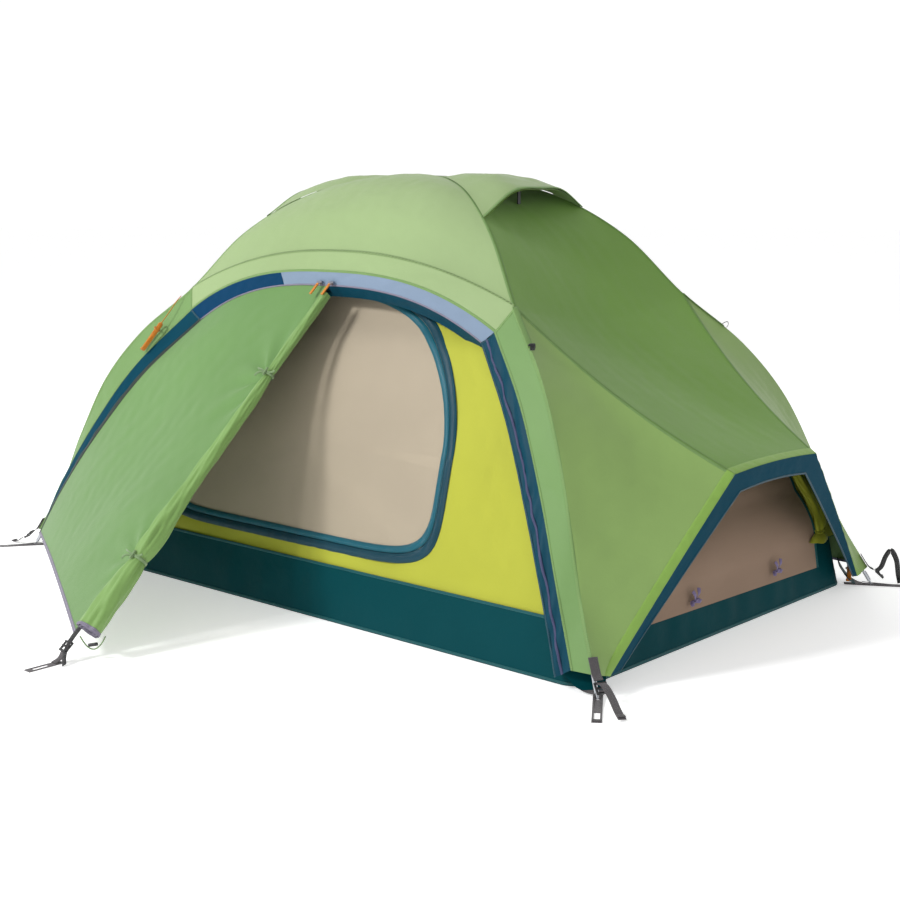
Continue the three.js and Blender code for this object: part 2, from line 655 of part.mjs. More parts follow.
// The half-moon door: flat at the foot, round at the top.
function doorReach(angle, margin = 0) {
  const up = Math.sin(angle) >= 0;
  const power = up ? 2 : 7;
  const a = Math.abs(Math.cos(angle)) / (DOOR.x + margin);
  const b = Math.abs(Math.sin(angle)) / ((up ? DOOR.up : DOOR.down) + margin);
  return (a ** power + b ** power) ** (-1 / power);
}

const frontWallPoint = (x, z) => vec(x, -DIAGONAL.y * innerReach(z), z);
const backWallPoint = (x, z) => vec(-x, DIAGONAL.y * innerReach(z), z);
const halfLength = (z) => DIAGONAL.x * innerReach(z);
const halfWidth = (z) => DIAGONAL.y * innerReach(z);

function innerTent() {
  const opening = { z: DOOR.z, reach: (angle) => doorReach(angle, DOOR_GAP) };
  add("inner_front_wall", frontWall(opening), COLOURS.yellow);

  const door = [];
  const centre = vec(0, 0, DOOR.z);
  for (const share of [0.06, 0.36, 0.68, 1]) {
    door.push(
      Array.from({ length: 48 }, (_, k) => {
        const angle = (2 * Math.PI * k) / 48;
        const reach = share * doorReach(angle);
        return frontWallPoint(reach * Math.cos(angle), centre.z + reach * Math.sin(angle));
      }),
    );
  }
  add("inner_door", discShell(door, straightBack(0, INNER_THICK)), COLOURS.beige);

  const rows = (toWall, halfAt) => {
    const grid = [];
    for (let j = 0; j <= 12; j++) {
      const z = WALL_FOOT + ((WALL_TOP - WALL_FOOT) * j) / 12;
      const half = halfAt(z) - SEAM_GAP;
      grid.push(Array.from({ length: 9 }, (_, i) => toWall(half * (i / 4 - 1), z)));
    }
    return grid;
  };
  const back = shell(rows(backWallPoint, halfLength), straightBack(0, -INNER_THICK));
  add("inner_back_wall", back, COLOURS.yellow);
  for (const [side, sx] of END_SIDES) {
    const endPoint = (y, z) => vec(sx * DIAGONAL.x * innerReach(z), sx * y, z);
    const end = shell(rows(endPoint, halfWidth), straightBack(-sx * INNER_THICK, 0));
    add(`inner_end_wall_${side}`, end, COLOURS.yellow);
  }
}

// Rings of points from near the centre outwards, closed over the centre by a small cap.
function discShell(rings, offset) {
  const n = rings[0].length;
  const outer = rings.flat();
  const points = [...outer, ...outer.map((p) => p.clone().add(offset(p)))];
  const back = outer.length;
  const faces = [];
  const quad = (a, b, c, d) => faces.push([a, b, c], [a, c, d]);
  for (let j = 0; j < rings.length - 1; j++) {
    for (let k = 0; k < n; k++) {
      const a = j * n + k;
      const b = j * n + ((k + 1) % n);
      quad(a, b, b + n, a + n);
      quad(back + b + n, back + b, back + a, back + a + n);
    }
  }
  const rim = (rings.length - 1) * n;
  for (let k = 0; k < n; k++) {
    const a = rim + k;
    const b = rim + ((k + 1) % n);
    quad(a, b, back + b, back + a);
  }
  for (let k = 1; k < n - 1; k++) {
    faces.push([0, k + 1, k], [back, back + k, back + k + 1]);
  }
  return solidFrom(points, faces);
}

// The groundsheet: a tray with rounded corners whose edge leans in.
function groundsheet() {
  const loop = (inset, z) => {
    const x = HALF_LENGTH - inset - TUB_CORNER;
    const y = HALF_WIDTH - inset - TUB_CORNER;
    const points = [];
    for (const [cx, cy, start] of [[x, y, 0], [-x, y, 1], [-x, -y, 2], [x, -y, 3]]) {
      for (let k = 0; k <= 4; k++) {
        const angle = (start + k / 4) * (Math.PI / 2);
        points.push(vec(cx + TUB_CORNER * Math.cos(angle), cy + TUB_CORNER * Math.sin(angle), z));
      }
    }
    return points;
  };
  const wall = 3;
  const tray = loft([
    loop(0, 0),
    loop(TUB_LEAN, TUB_HEIGHT),
    loop(TUB_LEAN + wall, TUB_HEIGHT),
    loop(wall, wall),
  ]);
  add("groundsheet", tray, COLOURS.teal);
}

// Hooks that carry the inner tent: a ring on the pole with a tail down to the seam.
function innerHooks() {
  const profile = poleProfile();
  for (const [depth, sy] of DEPTH_SIDES) {
    for (const [side, sx] of END_SIDES) {
      const line = profile.map(([r, z]) => onDiagonal(r, z, sx, sy));
      const curve = new THREE.CatmullRomCurve3(line);
      const along = curve.getTangent(HOOK_AT);
      const outwards = vec(sx * DIAGONAL.x, sy * DIAGONAL.y, 0);
      const down = outwards.cross(vec(0, 0, 1)).cross(along).normalize();
      if (down.z > 0) down.negate();
      const ring = new THREE.TorusGeometry(HOOK.ring, HOOK.wire, 6, 14);
      const tail = new THREE.BoxGeometry(8, HOOK.tail, 3).translate(0, -(HOOK.ring + HOOK.tail / 2), 0);
      const hook = toGeometry(toSolid(ring).add(toSolid(tail)));
      const mesh = add(`inner_hook_${depth}_${side}`, hook, COLOURS.plastic);
      const up = down.clone().negate();
      const basis = new THREE.Matrix4().makeBasis(up.clone().cross(along), up, along);
      mesh.quaternion.setFromRotationMatrix(basis);
      mesh.position.copy(curve.getPoint(HOOK_AT));
    }
  }
}

// ---- Guylines, wound up for the day -------------------------------------------------------------

// A wound hank stands in as its outline: a bar with round ends, long along X.
function hank({ long, wide, deep }) {
  const r = wide / 2;
  const half = long / 2 - r;
  const outline = [];
  for (const end of [1, -1]) {
    for (let k = 0; k <= 6; k++) {
      const angle = (Math.PI * k) / 6 - Math.PI / 2;
      outline.push([end * (half + r * Math.cos(angle)), end * r * Math.sin(angle)]);
    }
  }
  return plate(outline, [], deep).translate(0, 0, -deep / 2);
}

function turned(mesh, x, y) {
  const z = x.clone().cross(y).normalize();
  mesh.quaternion.setFromRotationMatrix(new THREE.Matrix4().makeBasis(x, z.clone().cross(x), z));
  return mesh;
}

function guylines() {
  // Front left: from the guy point at the knee, down over the leg panel.
  const line = FRONT_LEAD.map((p) => vec(...p));
  add("guyline_lead_front", sweep(new THREE.CatmullRomCurve3(line), 12, CORD_RADIUS), COLOURS.orange);
  const along = vec(-66, -48, -108).normalize();
  const bundle = add("guyline_hank_front", hank(HANKS.front), COLOURS.orange);
  const front = turned(bundle, along, vec(-0.8, 0.5, 0.1));
  front.position.copy(line.at(-1)).addScaledVector(along, HANKS.front.long / 2 + HANK_GAP);

  // Back right: hung inside the corner of the flysheet, down to the webbing on the ground.
  const rope = BACK_LEAD.map((p) => vec(...p));
  add("guyline_lead_back", sweep(new THREE.CatmullRomCurve3(rope), 12, CORD_RADIUS), COLOURS.orange);
  const across = vec(-DIAGONAL.y, DIAGONAL.x, 0);
  const coil = add("guyline_hank_back", hank(HANKS.back), COLOURS.orange);
  const back = turned(coil, vec(0, 0, -1), across);
  back.position.copy(rope.at(-1)).add(vec(0, 0, -HANKS.back.long / 2 - HANK_GAP));
}

flyFront();
entranceBand();
flyEnds();
flyBack();
ventHoods();
vestibule();
zipSliders();
poles();
corners();
vestibuleAnchor();
innerTent();
groundsheet();
innerHooks();
guylines();

export default tent;
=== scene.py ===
# Looks of the dome tent on poles: taut cloth, seams, piping, webbing, buckles, wound guylines and light.
# Metres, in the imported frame: origin on the ground at the groundsheet's centre, entrance towards -Y, +Z up.

import math

import bpy
import numpy as np
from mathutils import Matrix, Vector


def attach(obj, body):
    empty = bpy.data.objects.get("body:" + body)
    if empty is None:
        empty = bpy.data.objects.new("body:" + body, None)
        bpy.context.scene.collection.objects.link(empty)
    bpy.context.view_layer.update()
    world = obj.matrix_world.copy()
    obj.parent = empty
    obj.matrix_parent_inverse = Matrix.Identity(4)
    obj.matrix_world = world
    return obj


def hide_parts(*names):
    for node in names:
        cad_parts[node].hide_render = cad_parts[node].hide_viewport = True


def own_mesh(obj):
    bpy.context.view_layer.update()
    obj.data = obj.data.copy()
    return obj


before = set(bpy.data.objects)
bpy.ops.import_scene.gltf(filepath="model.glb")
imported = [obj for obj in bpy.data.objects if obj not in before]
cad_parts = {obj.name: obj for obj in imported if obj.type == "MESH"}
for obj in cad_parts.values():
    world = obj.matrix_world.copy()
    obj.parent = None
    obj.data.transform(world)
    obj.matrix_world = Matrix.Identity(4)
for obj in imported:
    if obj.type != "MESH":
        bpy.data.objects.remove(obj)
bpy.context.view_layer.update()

# ---- Sizes and places, in metres; the lines are those of the CAD ---------------------------------

DIAGONAL = np.array([1, 0.595]) / math.hypot(1, 0.595)
FLY_RIDGE = [
    (1.350, 0.055), (1.262, 0.200), (1.180, 0.390), (1.085, 0.575), (0.960, 0.725),
    (0.778, 0.872), (0.600, 1.045), (0.400, 1.158), (0.200, 1.208), (0.000, 1.222),
]
KNEE = 5 / 9
RIDGE_TOP = 0.988
INNER_RIDGE = [
    (1.253, 0.153), (1.160, 0.330), (1.075, 0.500), (0.960, 0.652), (0.850, 0.745),
    (0.735, 0.818), (0.575, 0.972), (0.385, 1.084), (0.195, 1.138), (0.000, 1.152),
]
BROW_TOP = 1.000
END_BROW = np.array([1.226, 0.208, 0.472])
END_LIFT = 0.008
END_BAND = 0.052
END_FOOT_BAND = {-1: 0.052, 1: 0.022}
ROOF_SAG = 0.14
FRONT_SAG = 0.020
HOOD_TOP, HOOD_LIFT = 0.93, 0.0028
HOOD_RIDGE = {-1: 6.4 / 9, 1: 6.65 / 9}
HOOD_PEAK = np.array([0.444, 0, 1.181])
HOOD_SHOULDER = {-1: 0.031, 1: 0.022}
DOOR_X, DOOR_Z, DOOR_UP, DOOR_DOWN = 0.571, 0.480, 0.408, 0.268
WALL_FOOT, WALL_TOP = 0.153, 1.120
TUB_X, TUB_Y, TUB_HEIGHT, TUB_LEAN, TUB_CORNER = 1.100, 0.670, 0.150, 0.023, 0.060
TUB_SKIN, TUB_BASE = 0.0015, 0.0008
VESTIBULE_TIP = np.array([0, -1.328, 0.060])
ROLL_FOOT, ROLL_TOP, ROLL_TAPER, ROLL_CLEAR = 0.034, 0.013, 1.15, 0.008
ROLL_TIES = {"upper": 0.72, "lower": 0.20}
GROMMET = 1.364
STRAP_TURN = {"front": 0.42, "back": 0.0}
BUCKLE_R, BUCKLE_Z, BUCKLE_TILT = 1.372, 0.044, 0.72
CORD_RADIUS = 0.0015
PER_TURN, FIRST_RUN = 36, 27
GUY_POINT = 0.482
FRONT_LEAD = [
    (-0.688, -0.428, 0.846), (-0.692, -0.446, 0.828), (-0.696, -0.462, 0.806),
    (-0.702, -0.478, 0.784), (-0.709, -0.492, 0.764),
]
BACK_LEAD = [
    (1.146, 0.652, 0.060), (1.140, 0.652, 0.070), (1.130, 0.656, 0.077),
    (1.120, 0.661, 0.075), (1.115, 0.663, 0.066),
]

CAMERA_AT = (3.0776, -3.3352, 1.1368)
CAMERA_AZIMUTH, CAMERA_ELEVATION, CAMERA_LENS = 41.9, 9.6, 58.2
KEY_LIGHT_AT, TOP_LIGHT_AT = (-1.7, -5.6, 4.2), (-1.6, -0.8, 5.2)
MIDDLE = np.array([0, 0, 0.3])
ENDS = {"right": 1, "left": -1}
DEPTHS = {"front": -1, "back": 1}


def vec(x, y, z):
    return np.array([x, y, z], float)


def unit(v):
    return v / np.maximum(np.linalg.norm(v, axis=-1, keepdims=True), 1e-12)


# ---- Curves: each is a function of a share 0..1 ------------------------------------------------


def through(points):
    """A centripetal Catmull-Rom curve, as the CAD draws it."""
    pts = [np.array(p, float) for p in points]
    last = len(pts) - 1

    def at(t):
        s = last * min(max(t, 0.0), 1.0)
        i = min(int(s), last - 1)
        w = s - i
        p1, p2 = pts[i], pts[i + 1]
        p0 = pts[i - 1] if i > 0 else 2 * p1 - p2
        p3 = pts[i + 2] if i + 2 <= last else 2 * p2 - p1
        d0, d1, d2 = (np.linalg.norm(b - a) ** 0.5 for a, b in ((p0, p1), (p1, p2), (p2, p3)))
        m1 = ((p1 - p0) / d0 - (p2 - p0) / (d0 + d1) + (p2 - p1) / d1) * d1
        m2 = ((p2 - p1) / d1 - (p3 - p1) / (d1 + d2) + (p3 - p2) / d2) * d1
        a = 2 * p1 - 2 * p2 + m1 + m2
        b = -3 * p1 + 3 * p2 - 2 * m1 - m2
        return ((a * w + b) * w + m1) * w + p1

    return at


def straight(a, b):
    return lambda t: a + (b - a) * t


def bowed(a, b, bow):
    return lambda t: a + (b - a) * t + bow * (4 * t * (1 - t))


def stretch(curve, start, end):
    return lambda t: curve(start + (end - start) * t)


def joined(first, second, at):
    return lambda t: first(t / at) if t < at else second((t - at) / (1 - at))


def on_diagonal(r, z, sx, sy):
    return vec(sx * DIAGONAL[0] * r, sy * DIAGONAL[1] * r, z)


def ridge(sx, sy):
    return through([on_diagonal(r, z, sx, sy) for r, z in FLY_RIDGE])


def knee(sx, sy):
    return ridge(sx, sy)(KNEE)


def brow_line(t):
    x, end = 2 * t - 1, knee(1, -1)
    rise = 1 - abs(x) ** 2.2
    return vec(x * end[0], end[1] - 0.004 * rise, end[2] + (BROW_TOP - end[2]) * rise)


def arch_line(half_span, low, high):
    def at(t):
        x = 2 * t - 1
        return vec(x * half_span, -0.433, low + (high - low) * (1 - abs(x) ** 2.6))

    return at


ARCH_OUTER = arch_line(0.628, 0.806, 0.943)
ARCH_INNER = arch_line(0.583, 0.775, 0.903)
LEG_OUTER = {
    "right": through([
        (1.092, -0.697, 0.054), (1.028, -0.664, 0.199), (0.927, -0.606, 0.417),
        (0.804, -0.537, 0.629), ARCH_OUTER(1),
    ]),
    "left": through([
        (-1.136, -0.697, 0.058), (-1.046, -0.666, 0.230), (-0.925, -0.612, 0.430),
        (-0.793, -0.540, 0.622), ARCH_OUTER(0),
    ]),
}
LEG_INNER = {
    "right": through([
        (1.052, -0.707, 0.030), (0.990, -0.675, 0.180), (0.885, -0.616, 0.390),
        (0.764, -0.546, 0.592), ARCH_INNER(1),
    ]),
    "left": through([
        (-1.108, -0.722, 0.054), (-1.010, -0.684, 0.222), (-0.886, -0.626, 0.412),
        (-0.757, -0.550, 0.590), ARCH_INNER(0),
    ]),
}
ARCH_TOP = ARCH_INNER(0.5)


def brow_corner(sx, sy):
    return END_BROW * (sx, sy, 1)


def end_leg_foot(sx, sy):
    return vec(sx * 1.158, sy * 0.630, 0.038)


def end_seam(sx, sy):
    return bowed(brow_corner(sx, sy), knee(sx, sy), vec(-sx * 0.014, 0, -0.022))


def inner_reach(z):
    low, high = 0.0, 1.0
    for _ in range(24):
        t = (low + high) / 2
        low, high = (t, high) if INNER_CURVE(t)[2] < z else (low, t)
    p = INNER_CURVE(low)
    return math.hypot(p[0], p[1])


INNER_CURVE = through([on_diagonal(r, z, 1, 1) for r, z in INNER_RIDGE])
REACH_Z = np.linspace(WALL_FOOT, 1.145, 160)
REACH_R = np.array([inner_reach(z) for z in REACH_Z])


def inner_half(z, axis):
    """Half length (axis 0) or half width (axis 1) of the inner tent at a height."""
    return DIAGONAL[axis] * np.interp(z, REACH_Z, REACH_R)


# ---- Materials -----------------------------------------------------------------------------------


def linear(rgb):
    c = [x / 255 for x in rgb]
    return [x / 12.92 if x <= 0.04045 else ((x + 0.055) / 1.055) ** 2.4 for x in c] + [1.0]


class Nodes:
    """Short calls for building one material's node tree."""

    def __init__(self, name, roughness=0.6, metallic=0.0, sheen=0.0, coat=0.0, specular=0.35):
        self.material = bpy.data.materials.new(name)
        self.material.use_nodes = True
        self.tree = self.material.node_tree
        self.shader = self.tree.nodes["Principled BSDF"]
        self.shader.inputs["Roughness"].default_value = roughness
        self.shader.inputs["Metallic"].default_value = metallic
        self.shader.inputs["Sheen Weight"].default_value = sheen
        self.shader.inputs["Sheen Roughness"].default_value = 0.4
        self.shader.inputs["Coat Weight"].default_value = coat
        self.shader.inputs["Coat Roughness"].default_value = 0.25
        self.shader.inputs["Specular IOR Level"].default_value = specular
        self.height = None

    def node(self, kind, **values):
        made = self.tree.nodes.new(kind)
        for key, value in values.items():
            if key in made.inputs:
                made.inputs[key].default_value = value
            else:
                setattr(made, key, value)
        return made

    def link(self, a, b):
        self.tree.links.new(a, b)

    def coordinates(self, kind):
        return self.node("ShaderNodeTexCoord").outputs[kind]

    def math(self, operation, a, b=None):
        made = self.node("ShaderNodeMath", operation=operation)
        for socket, value in zip(made.inputs, (a, b)):
            if value is None:
                continue
            if isinstance(value, (int, float)):
                socket.default_value = value
            else:
                self.link(value, socket)
        return made.outputs[0]

    def noise(self, where, scale, detail=3.0):
        made = self.node("ShaderNodeTexNoise", Scale=scale, Detail=detail)
        self.link(where, made.inputs["Vector"])
        return made.outputs["Fac"]

    def bands(self, where, pitch, direction):
        made = self.node("ShaderNodeTexWave", bands_direction=direction, Scale=0.314 / pitch)
        self.link(where, made.inputs["Vector"])
        return made.outputs["Fac"]

    def mix(self, share, a, b):
        made = self.node("ShaderNodeMix", data_type="RGBA")
        self.link(share, made.inputs[0])
        for socket, value in ((made.inputs[6], a), (made.inputs[7], b)):
            if isinstance(value, list):
                socket.default_value = value
            else:
                self.link(value, socket)
        return made.outputs[2]

    def bump(self, height, distance, strength=1.0):
        made = self.node("ShaderNodeBump", Distance=distance, Strength=strength)
        self.link(height, made.inputs["Height"])
        if self.height is not None:
            self.link(self.height, made.inputs["Normal"])
        self.height = made.outputs["Normal"]

    def done(self, colour):
        self.link(colour, self.shader.inputs["Base Color"])
        if self.height is not None:
            self.link(self.height, self.shader.inputs["Normal"])
        return self.material


def blotched(n, rgb, amount, scale=3.0):
    """The colour, a little lighter and darker over the cloth."""
    where = n.coordinates("Object")
    dark = linear([c * (1 - amount) for c in rgb])
    light = linear([min(255, c * (1 + amount)) for c in rgb])
    return n.mix(n.noise(where, scale), dark, light)


def cloth(
    name, rgb, thread=0.0011, roughness=0.55, sheen=0.15, crease=0.0012, amount=0.05, coords="UV",
    specular=0.3,
):
    n = Nodes(name, roughness=roughness, sheen=sheen, specular=specular)
    where = n.coordinates("Object")
    n.bump(n.noise(where, 14.0, 4.0), crease)
    n.bump(n.noise(where, 70.0, 2.0), crease * 0.12)
    weave = n.coordinates(coords)
    warp, weft = n.bands(weave, thread, "X"), n.bands(weave, thread, "Y")
    n.bump(n.math("MULTIPLY", warp, weft), thread * 0.12, 0.6)
    colour = blotched(n, rgb, amount)
    fine = n.noise(where, 260.0, 2.0)
    return n.done(n.mix(n.math("MULTIPLY", fine, 0.10), colour, linear([c * 0.72 for c in rgb])))


def netting(name, rgb):
    n = Nodes(name, roughness=0.85, sheen=0.1, specular=0.15)
    weave = n.coordinates("UV")
    holes = n.math("MULTIPLY", n.bands(weave, 0.0018, "X"), n.bands(weave, 0.0018, "Y"))
    n.bump(n.noise(n.coordinates("Object"), 9.0), 0.002)
    n.bump(holes, 0.0003)
    colour = blotched(n, rgb, 0.04)
    # The holes are painted darker: painted shade, the dim inside seen through the mesh.
    share = n.math("MULTIPLY", holes, 0.28)
    return n.done(n.mix(share, colour, linear([c * 0.62 for c in rgb])))


def stitched(name, rgb, thread_rgb, rows=(0.62,), roughness=0.5, pitch=0.0045):
    """Tape whose UV is metres along and -1..1 across, with rows of stitches at those shares."""
    n = Nodes(name, roughness=roughness, sheen=0.05, specular=0.3)
    split = n.node("ShaderNodeSeparateXYZ")
    n.link(n.coordinates("UV"), split.inputs[0])
    along, across = split.outputs[0], n.math("ABSOLUTE", split.outputs[1])
    wave = n.math("SINE", n.math("MULTIPLY", along, 2 * math.pi / pitch))
    dash = n.math("GREATER_THAN", wave, -0.35)
    stitches = None
    for row in rows:
        near = n.math("LESS_THAN", n.math("ABSOLUTE", n.math("SUBTRACT", across, row)), 0.07)
        hit = n.math("MULTIPLY", near, dash)
        stitches = hit if stitches is None else n.math("MAXIMUM", stitches, hit)
    n.bump(n.noise(n.coordinates("Object"), 60.0), 0.0008)
    n.bump(stitches, 0.0004)
    rib = n.math("SINE", n.math("MULTIPLY", along, 2 * math.pi / 0.0016))
    n.bump(rib, 0.00008)
    return n.done(n.mix(stitches, blotched(n, rgb, 0.08, 8.0), linear(thread_rgb)))


def webbing(name, rgb, coords="UV"):
    n = Nodes(name, roughness=0.75, sheen=0.3)
    where = n.coordinates(coords)
    rib = n.bands(where, 0.0017, "DIAGONAL")
    cross = n.bands(where, 0.0024, "Y")
    height = n.math("MULTIPLY", rib, cross)
    n.bump(height, 0.0005)
    n.bump(n.noise(n.coordinates("Object"), 220.0), 0.0003)
    # The weave's low parts are painted darker: painted shade in its hollows.
    dark = linear([c * 0.6 for c in rgb])
    return n.done(n.mix(height, dark, blotched(n, rgb, 0.12, 25.0)))


def plastic(name, rgb, roughness=0.42):
    n = Nodes(name, roughness=roughness, specular=0.5, coat=0.1)
    where = n.coordinates("Object")
    n.bump(n.noise(where, 900.0), 0.00012)
    scuffs = n.math("GREATER_THAN", n.noise(where, 130.0, 6.0), 0.62)
    share = n.math("MULTIPLY", scuffs, 0.25)
    return n.done(n.mix(share, linear(rgb), linear([min(255, c + 45) for c in rgb])))


def metal(name, rgb, roughness=0.28):
    n = Nodes(name, roughness=roughness, metallic=1.0)
    where = n.coordinates("Object")
    n.bump(n.noise(where, 500.0, 5.0), 0.00006)
    return n.done(n.mix(n.noise(where, 40.0), linear([c * 0.86 for c in rgb]), linear(rgb)))


def braid(name, rgb):
    n = Nodes(name, roughness=0.7, sheen=0.3)
    where = n.coordinates("Object")
    plait = n.math("MULTIPLY", n.bands(where, 0.0013, "DIAGONAL"), n.bands(where, 0.0011, "Z"))
    n.bump(plait, 0.0004)
    # Between the plaits the cord is painted darker: painted shade in the hollows.
    return n.done(n.mix(plait, linear([c * 0.7 for c in rgb]), blotched(n, rgb, 0.1, 60.0)))


# The flysheet is one green cloth, given a different green on each kind of panel: the roof's lightest green is
# painted light, and the darker greens of the legs, back, vestibule, end roofs and end walls are painted
# shade.
FLY_LEGS_BACK_PAINTED_SHADE = cloth("fly_legs_back_painted_shade", (104, 138, 80))
FLY_VESTIBULE_PAINTED_SHADE = cloth("fly_vestibule_painted_shade", (93, 131, 70))
FLY_ROOF_PAINTED_LIGHT = cloth("fly_roof_painted_light", (136, 158, 108))
FLY_END_PAINTED_SHADE = cloth("fly_end", (104, 142, 60))
FLY_WALL_PAINTED_SHADE = cloth("fly_wall_painted_shade", (129, 158, 90))
FLY_HEM = cloth("fly_hem", (124, 160, 72), thread=0.0014)
BAND_GREY = cloth("band_grey", (116, 134, 156), thread=0.0014, roughness=0.45)
BAND_BLUE = cloth("band_blue", (0, 54, 88), thread=0.0014, roughness=0.6, sheen=0.0, specular=0.08)
BAND_TEAL = cloth("band_teal", (0, 58, 76), thread=0.0014, roughness=0.5, sheen=0.0, specular=0.14)
BAND_NAVY = cloth("band_navy", (0, 58, 76), thread=0.0014, roughness=0.6, sheen=0.0, specular=0.06)
TUB = cloth("tub", (0, 60, 66), thread=0.0016, crease=0.003, roughness=0.55, sheen=0.0, specular=0.06)
YELLOW = cloth("inner_yellow", (163, 166, 50), crease=0.0012, roughness=0.7)
BEIGE = netting("door_net", (170, 158, 139))
WINDOW = netting("window_net", (145, 122, 104))
# The rolled half is the vestibule's own cloth, made lighter: painted light on the roll.
FLY_ROLL_PAINTED_LIGHT = cloth("fly_roll_painted_light", (114, 148, 82), crease=0.004, amount=0.08)
ZIP_DARK = stitched("zip_dark", (26, 38, 32), (52, 64, 54), rows=(0.5,))
BROW_SEAM = stitched("brow_seam", (118, 142, 90), (62, 88, 44), rows=(0.1, 0.6), pitch=0.013)
SEAM = stitched("fly_seam", (112, 144, 84), (84, 112, 60), rows=(0.25, 0.75))
# The same seam tape, darker for the end roofs: painted shade.
SEAM_PAINTED_SHADE = stitched("fly_seam_painted_shade", (100, 136, 64), (78, 110, 48), rows=(0.25, 0.75))
HEM_GREY = stitched("hem_grey", (112, 106, 124), (150, 146, 160))
ZIP_TAPE = stitched("zip_tape", (58, 62, 96), (78, 80, 112), rows=(0.5,))
PIPING_DARK = stitched("piping_dark", (0, 56, 72), (16, 84, 98), rows=(0.8,), roughness=0.36)
# A lighter copy of the teal piping for the door's own tape: partly that tape's own colour, partly a painted
# highlight.
PIPING_PAINTED_HIGHLIGHT = stitched("piping_painted_highlight", (14, 86, 102), (30, 104, 116), rows=(0.75,), roughness=0.32)
TUB_SEAM = stitched("tub_seam", (0, 74, 78), (30, 110, 112))
WEBBING = webbing("webbing_grey", (118, 112, 116))
WEBBING_CAD = webbing("webbing_grey_flat", (118, 112, 116), coords="Object")
WEBBING_BLACK = webbing("webbing_black", (34, 34, 38))
BLACK = plastic("black_plastic", (22, 22, 24))
ZIP_METAL = metal("zip_metal", (150, 150, 158))
ALLOY = metal("pole_alloy", (196, 199, 205))
ORANGE = braid("orange_cord", (255, 150, 20))
TIE = cloth("tie_tape", (112, 136, 96), thread=0.0016, coords="Object")
TOGGLE = cloth("toggle_tape", (112, 100, 136), thread=0.0016, coords="Object")

# ---- Meshes from grids ---------------------------------------------------------------------------


def coons(bottom, top, left, right, columns, rows):
    """A panel spanned between four curves that meet at its corners, as rows of points."""
    u, v = np.linspace(0, 1, columns + 1), np.linspace(0, 1, rows + 1)
    b, t = np.array([bottom(x) for x in u]), np.array([top(x) for x in u])
    l, r = np.array([left(x) for x in v]), np.array([right(x) for x in v])
    u, v = u[None, :, None], v[:, None, None]
    across = b[None] * (1 - v) + t[None] * v
    along = l[:, None] * (1 - u) + r[:, None] * u
    foot, head = b[0] * (1 - u) + b[-1] * u, t[0] * (1 - u) + t[-1] * u
    return across + along - foot * (1 - v) - head * v


def between(bottom, top, columns, rows):
    """A panel between two curves, with straight ends."""
    return coons(bottom, top, straight(bottom(0), top(0)), straight(bottom(1), top(1)), columns, rows)


def normals(grid):
    du, dv = np.gradient(grid, axis=1), np.gradient(grid, axis=0)
    n = unit(np.cross(du, dv))
    mid = n[grid.shape[0] // 2, grid.shape[1] // 2]
    out = grid[grid.shape[0] // 2, grid.shape[1] // 2] - MIDDLE
    return n if mid @ out > 0 else -n


def waves(points, length, seed, count=14):
    """Smooth noise in -1..1 with features about that long; the same seed gives the same noise."""
    rng = np.random.default_rng(seed)
    total = np.zeros(points.shape[:-1])
    for _ in range(count):
        k = unit(rng.normal(size=3)) * (2 * math.pi / length) * rng.uniform(0.6, 1.5)
        total += np.sin(points @ k + rng.uniform(0, 2 * math.pi))
    return total / math.sqrt(count)


def edge_mask(grid, power=0.5):
    v = np.linspace(0, 1, grid.shape[0])[:, None]
    u = np.linspace(0, 1, grid.shape[1])[None, :]
    return (16 * u * (1 - u) * v * (1 - v)).clip(0, 1) ** power


def wrinkled(grid, seed, depth=0.004, length=0.3, fine=0.0006, fine_length=0.05):
    """Cloth that isn't quite flat between its seams."""
    shift = depth * waves(grid, length, seed) + fine * waves(grid, fine_length, seed + 1)
    return grid + normals(grid) * (shift * edge_mask(grid))[..., None]


def steps(grid, axis):
    return np.linalg.norm(np.diff(grid, axis=axis), axis=-1)


def flat_size(grid):
    return float(steps(grid, 1).sum(1).max()), float(steps(grid, 0).sum(0).max())


def flat_area(grid):
    a, b = np.diff(grid[:-1], axis=1), np.diff(grid[:, :-1], axis=0)
    c, d = np.diff(grid[1:], axis=1), np.diff(grid[:, 1:], axis=0)
    halves = np.linalg.norm(np.cross(a, b), axis=-1) + np.linalg.norm(np.cross(c, d), axis=-1)
    return float(halves.sum() / 2)


def grid_mesh(name, grid, material, across=None, ring=False):
    """A mesh over a grid. UV is metres along and across, or -1..1 across where that is given."""
    rows, columns = grid.shape[:2]
    u = np.concatenate([np.zeros((rows, 1)), np.cumsum(steps(grid, 1), 1)], 1)
    u -= u[:, -1:] / 2
    v = np.concatenate([np.zeros((1, columns)), np.cumsum(steps(grid, 0), 0)], 0)
    if across is not None:
        u, v = v, np.broadcast_to(np.array(across)[None, :], (rows, columns))
    index = np.arange(rows * columns).reshape(rows, columns)
    right = np.roll(index, -1, 1) if ring else index[:, 1:]
    left = index if ring else index[:, :-1]
    quads = np.stack([left[:-1], right[:-1], right[1:], left[1:]], -1).reshape(-1, 4)
    mesh = bpy.data.meshes.new(name)
    mesh.from_pydata(grid.reshape(-1, 3).tolist(), [], quads.tolist())
    layer = mesh.uv_layers.new(name="UVMap")
    uv = np.stack([u, v], -1).reshape(-1, 2)
    layer.data.foreach_set("uv", uv[quads.reshape(-1)].astype(np.float32).ravel())
    mesh.polygons.foreach_set("use_smooth", [True] * len(quads))
    mesh.materials.append(material)
    obj = bpy.data.objects.new(name, mesh)
    bpy.context.scene.collection.objects.link(obj)
    return obj


def place(obj, body="tent", nodes=()):
    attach(obj, body)
    if nodes:
        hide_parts(*nodes)
    return obj


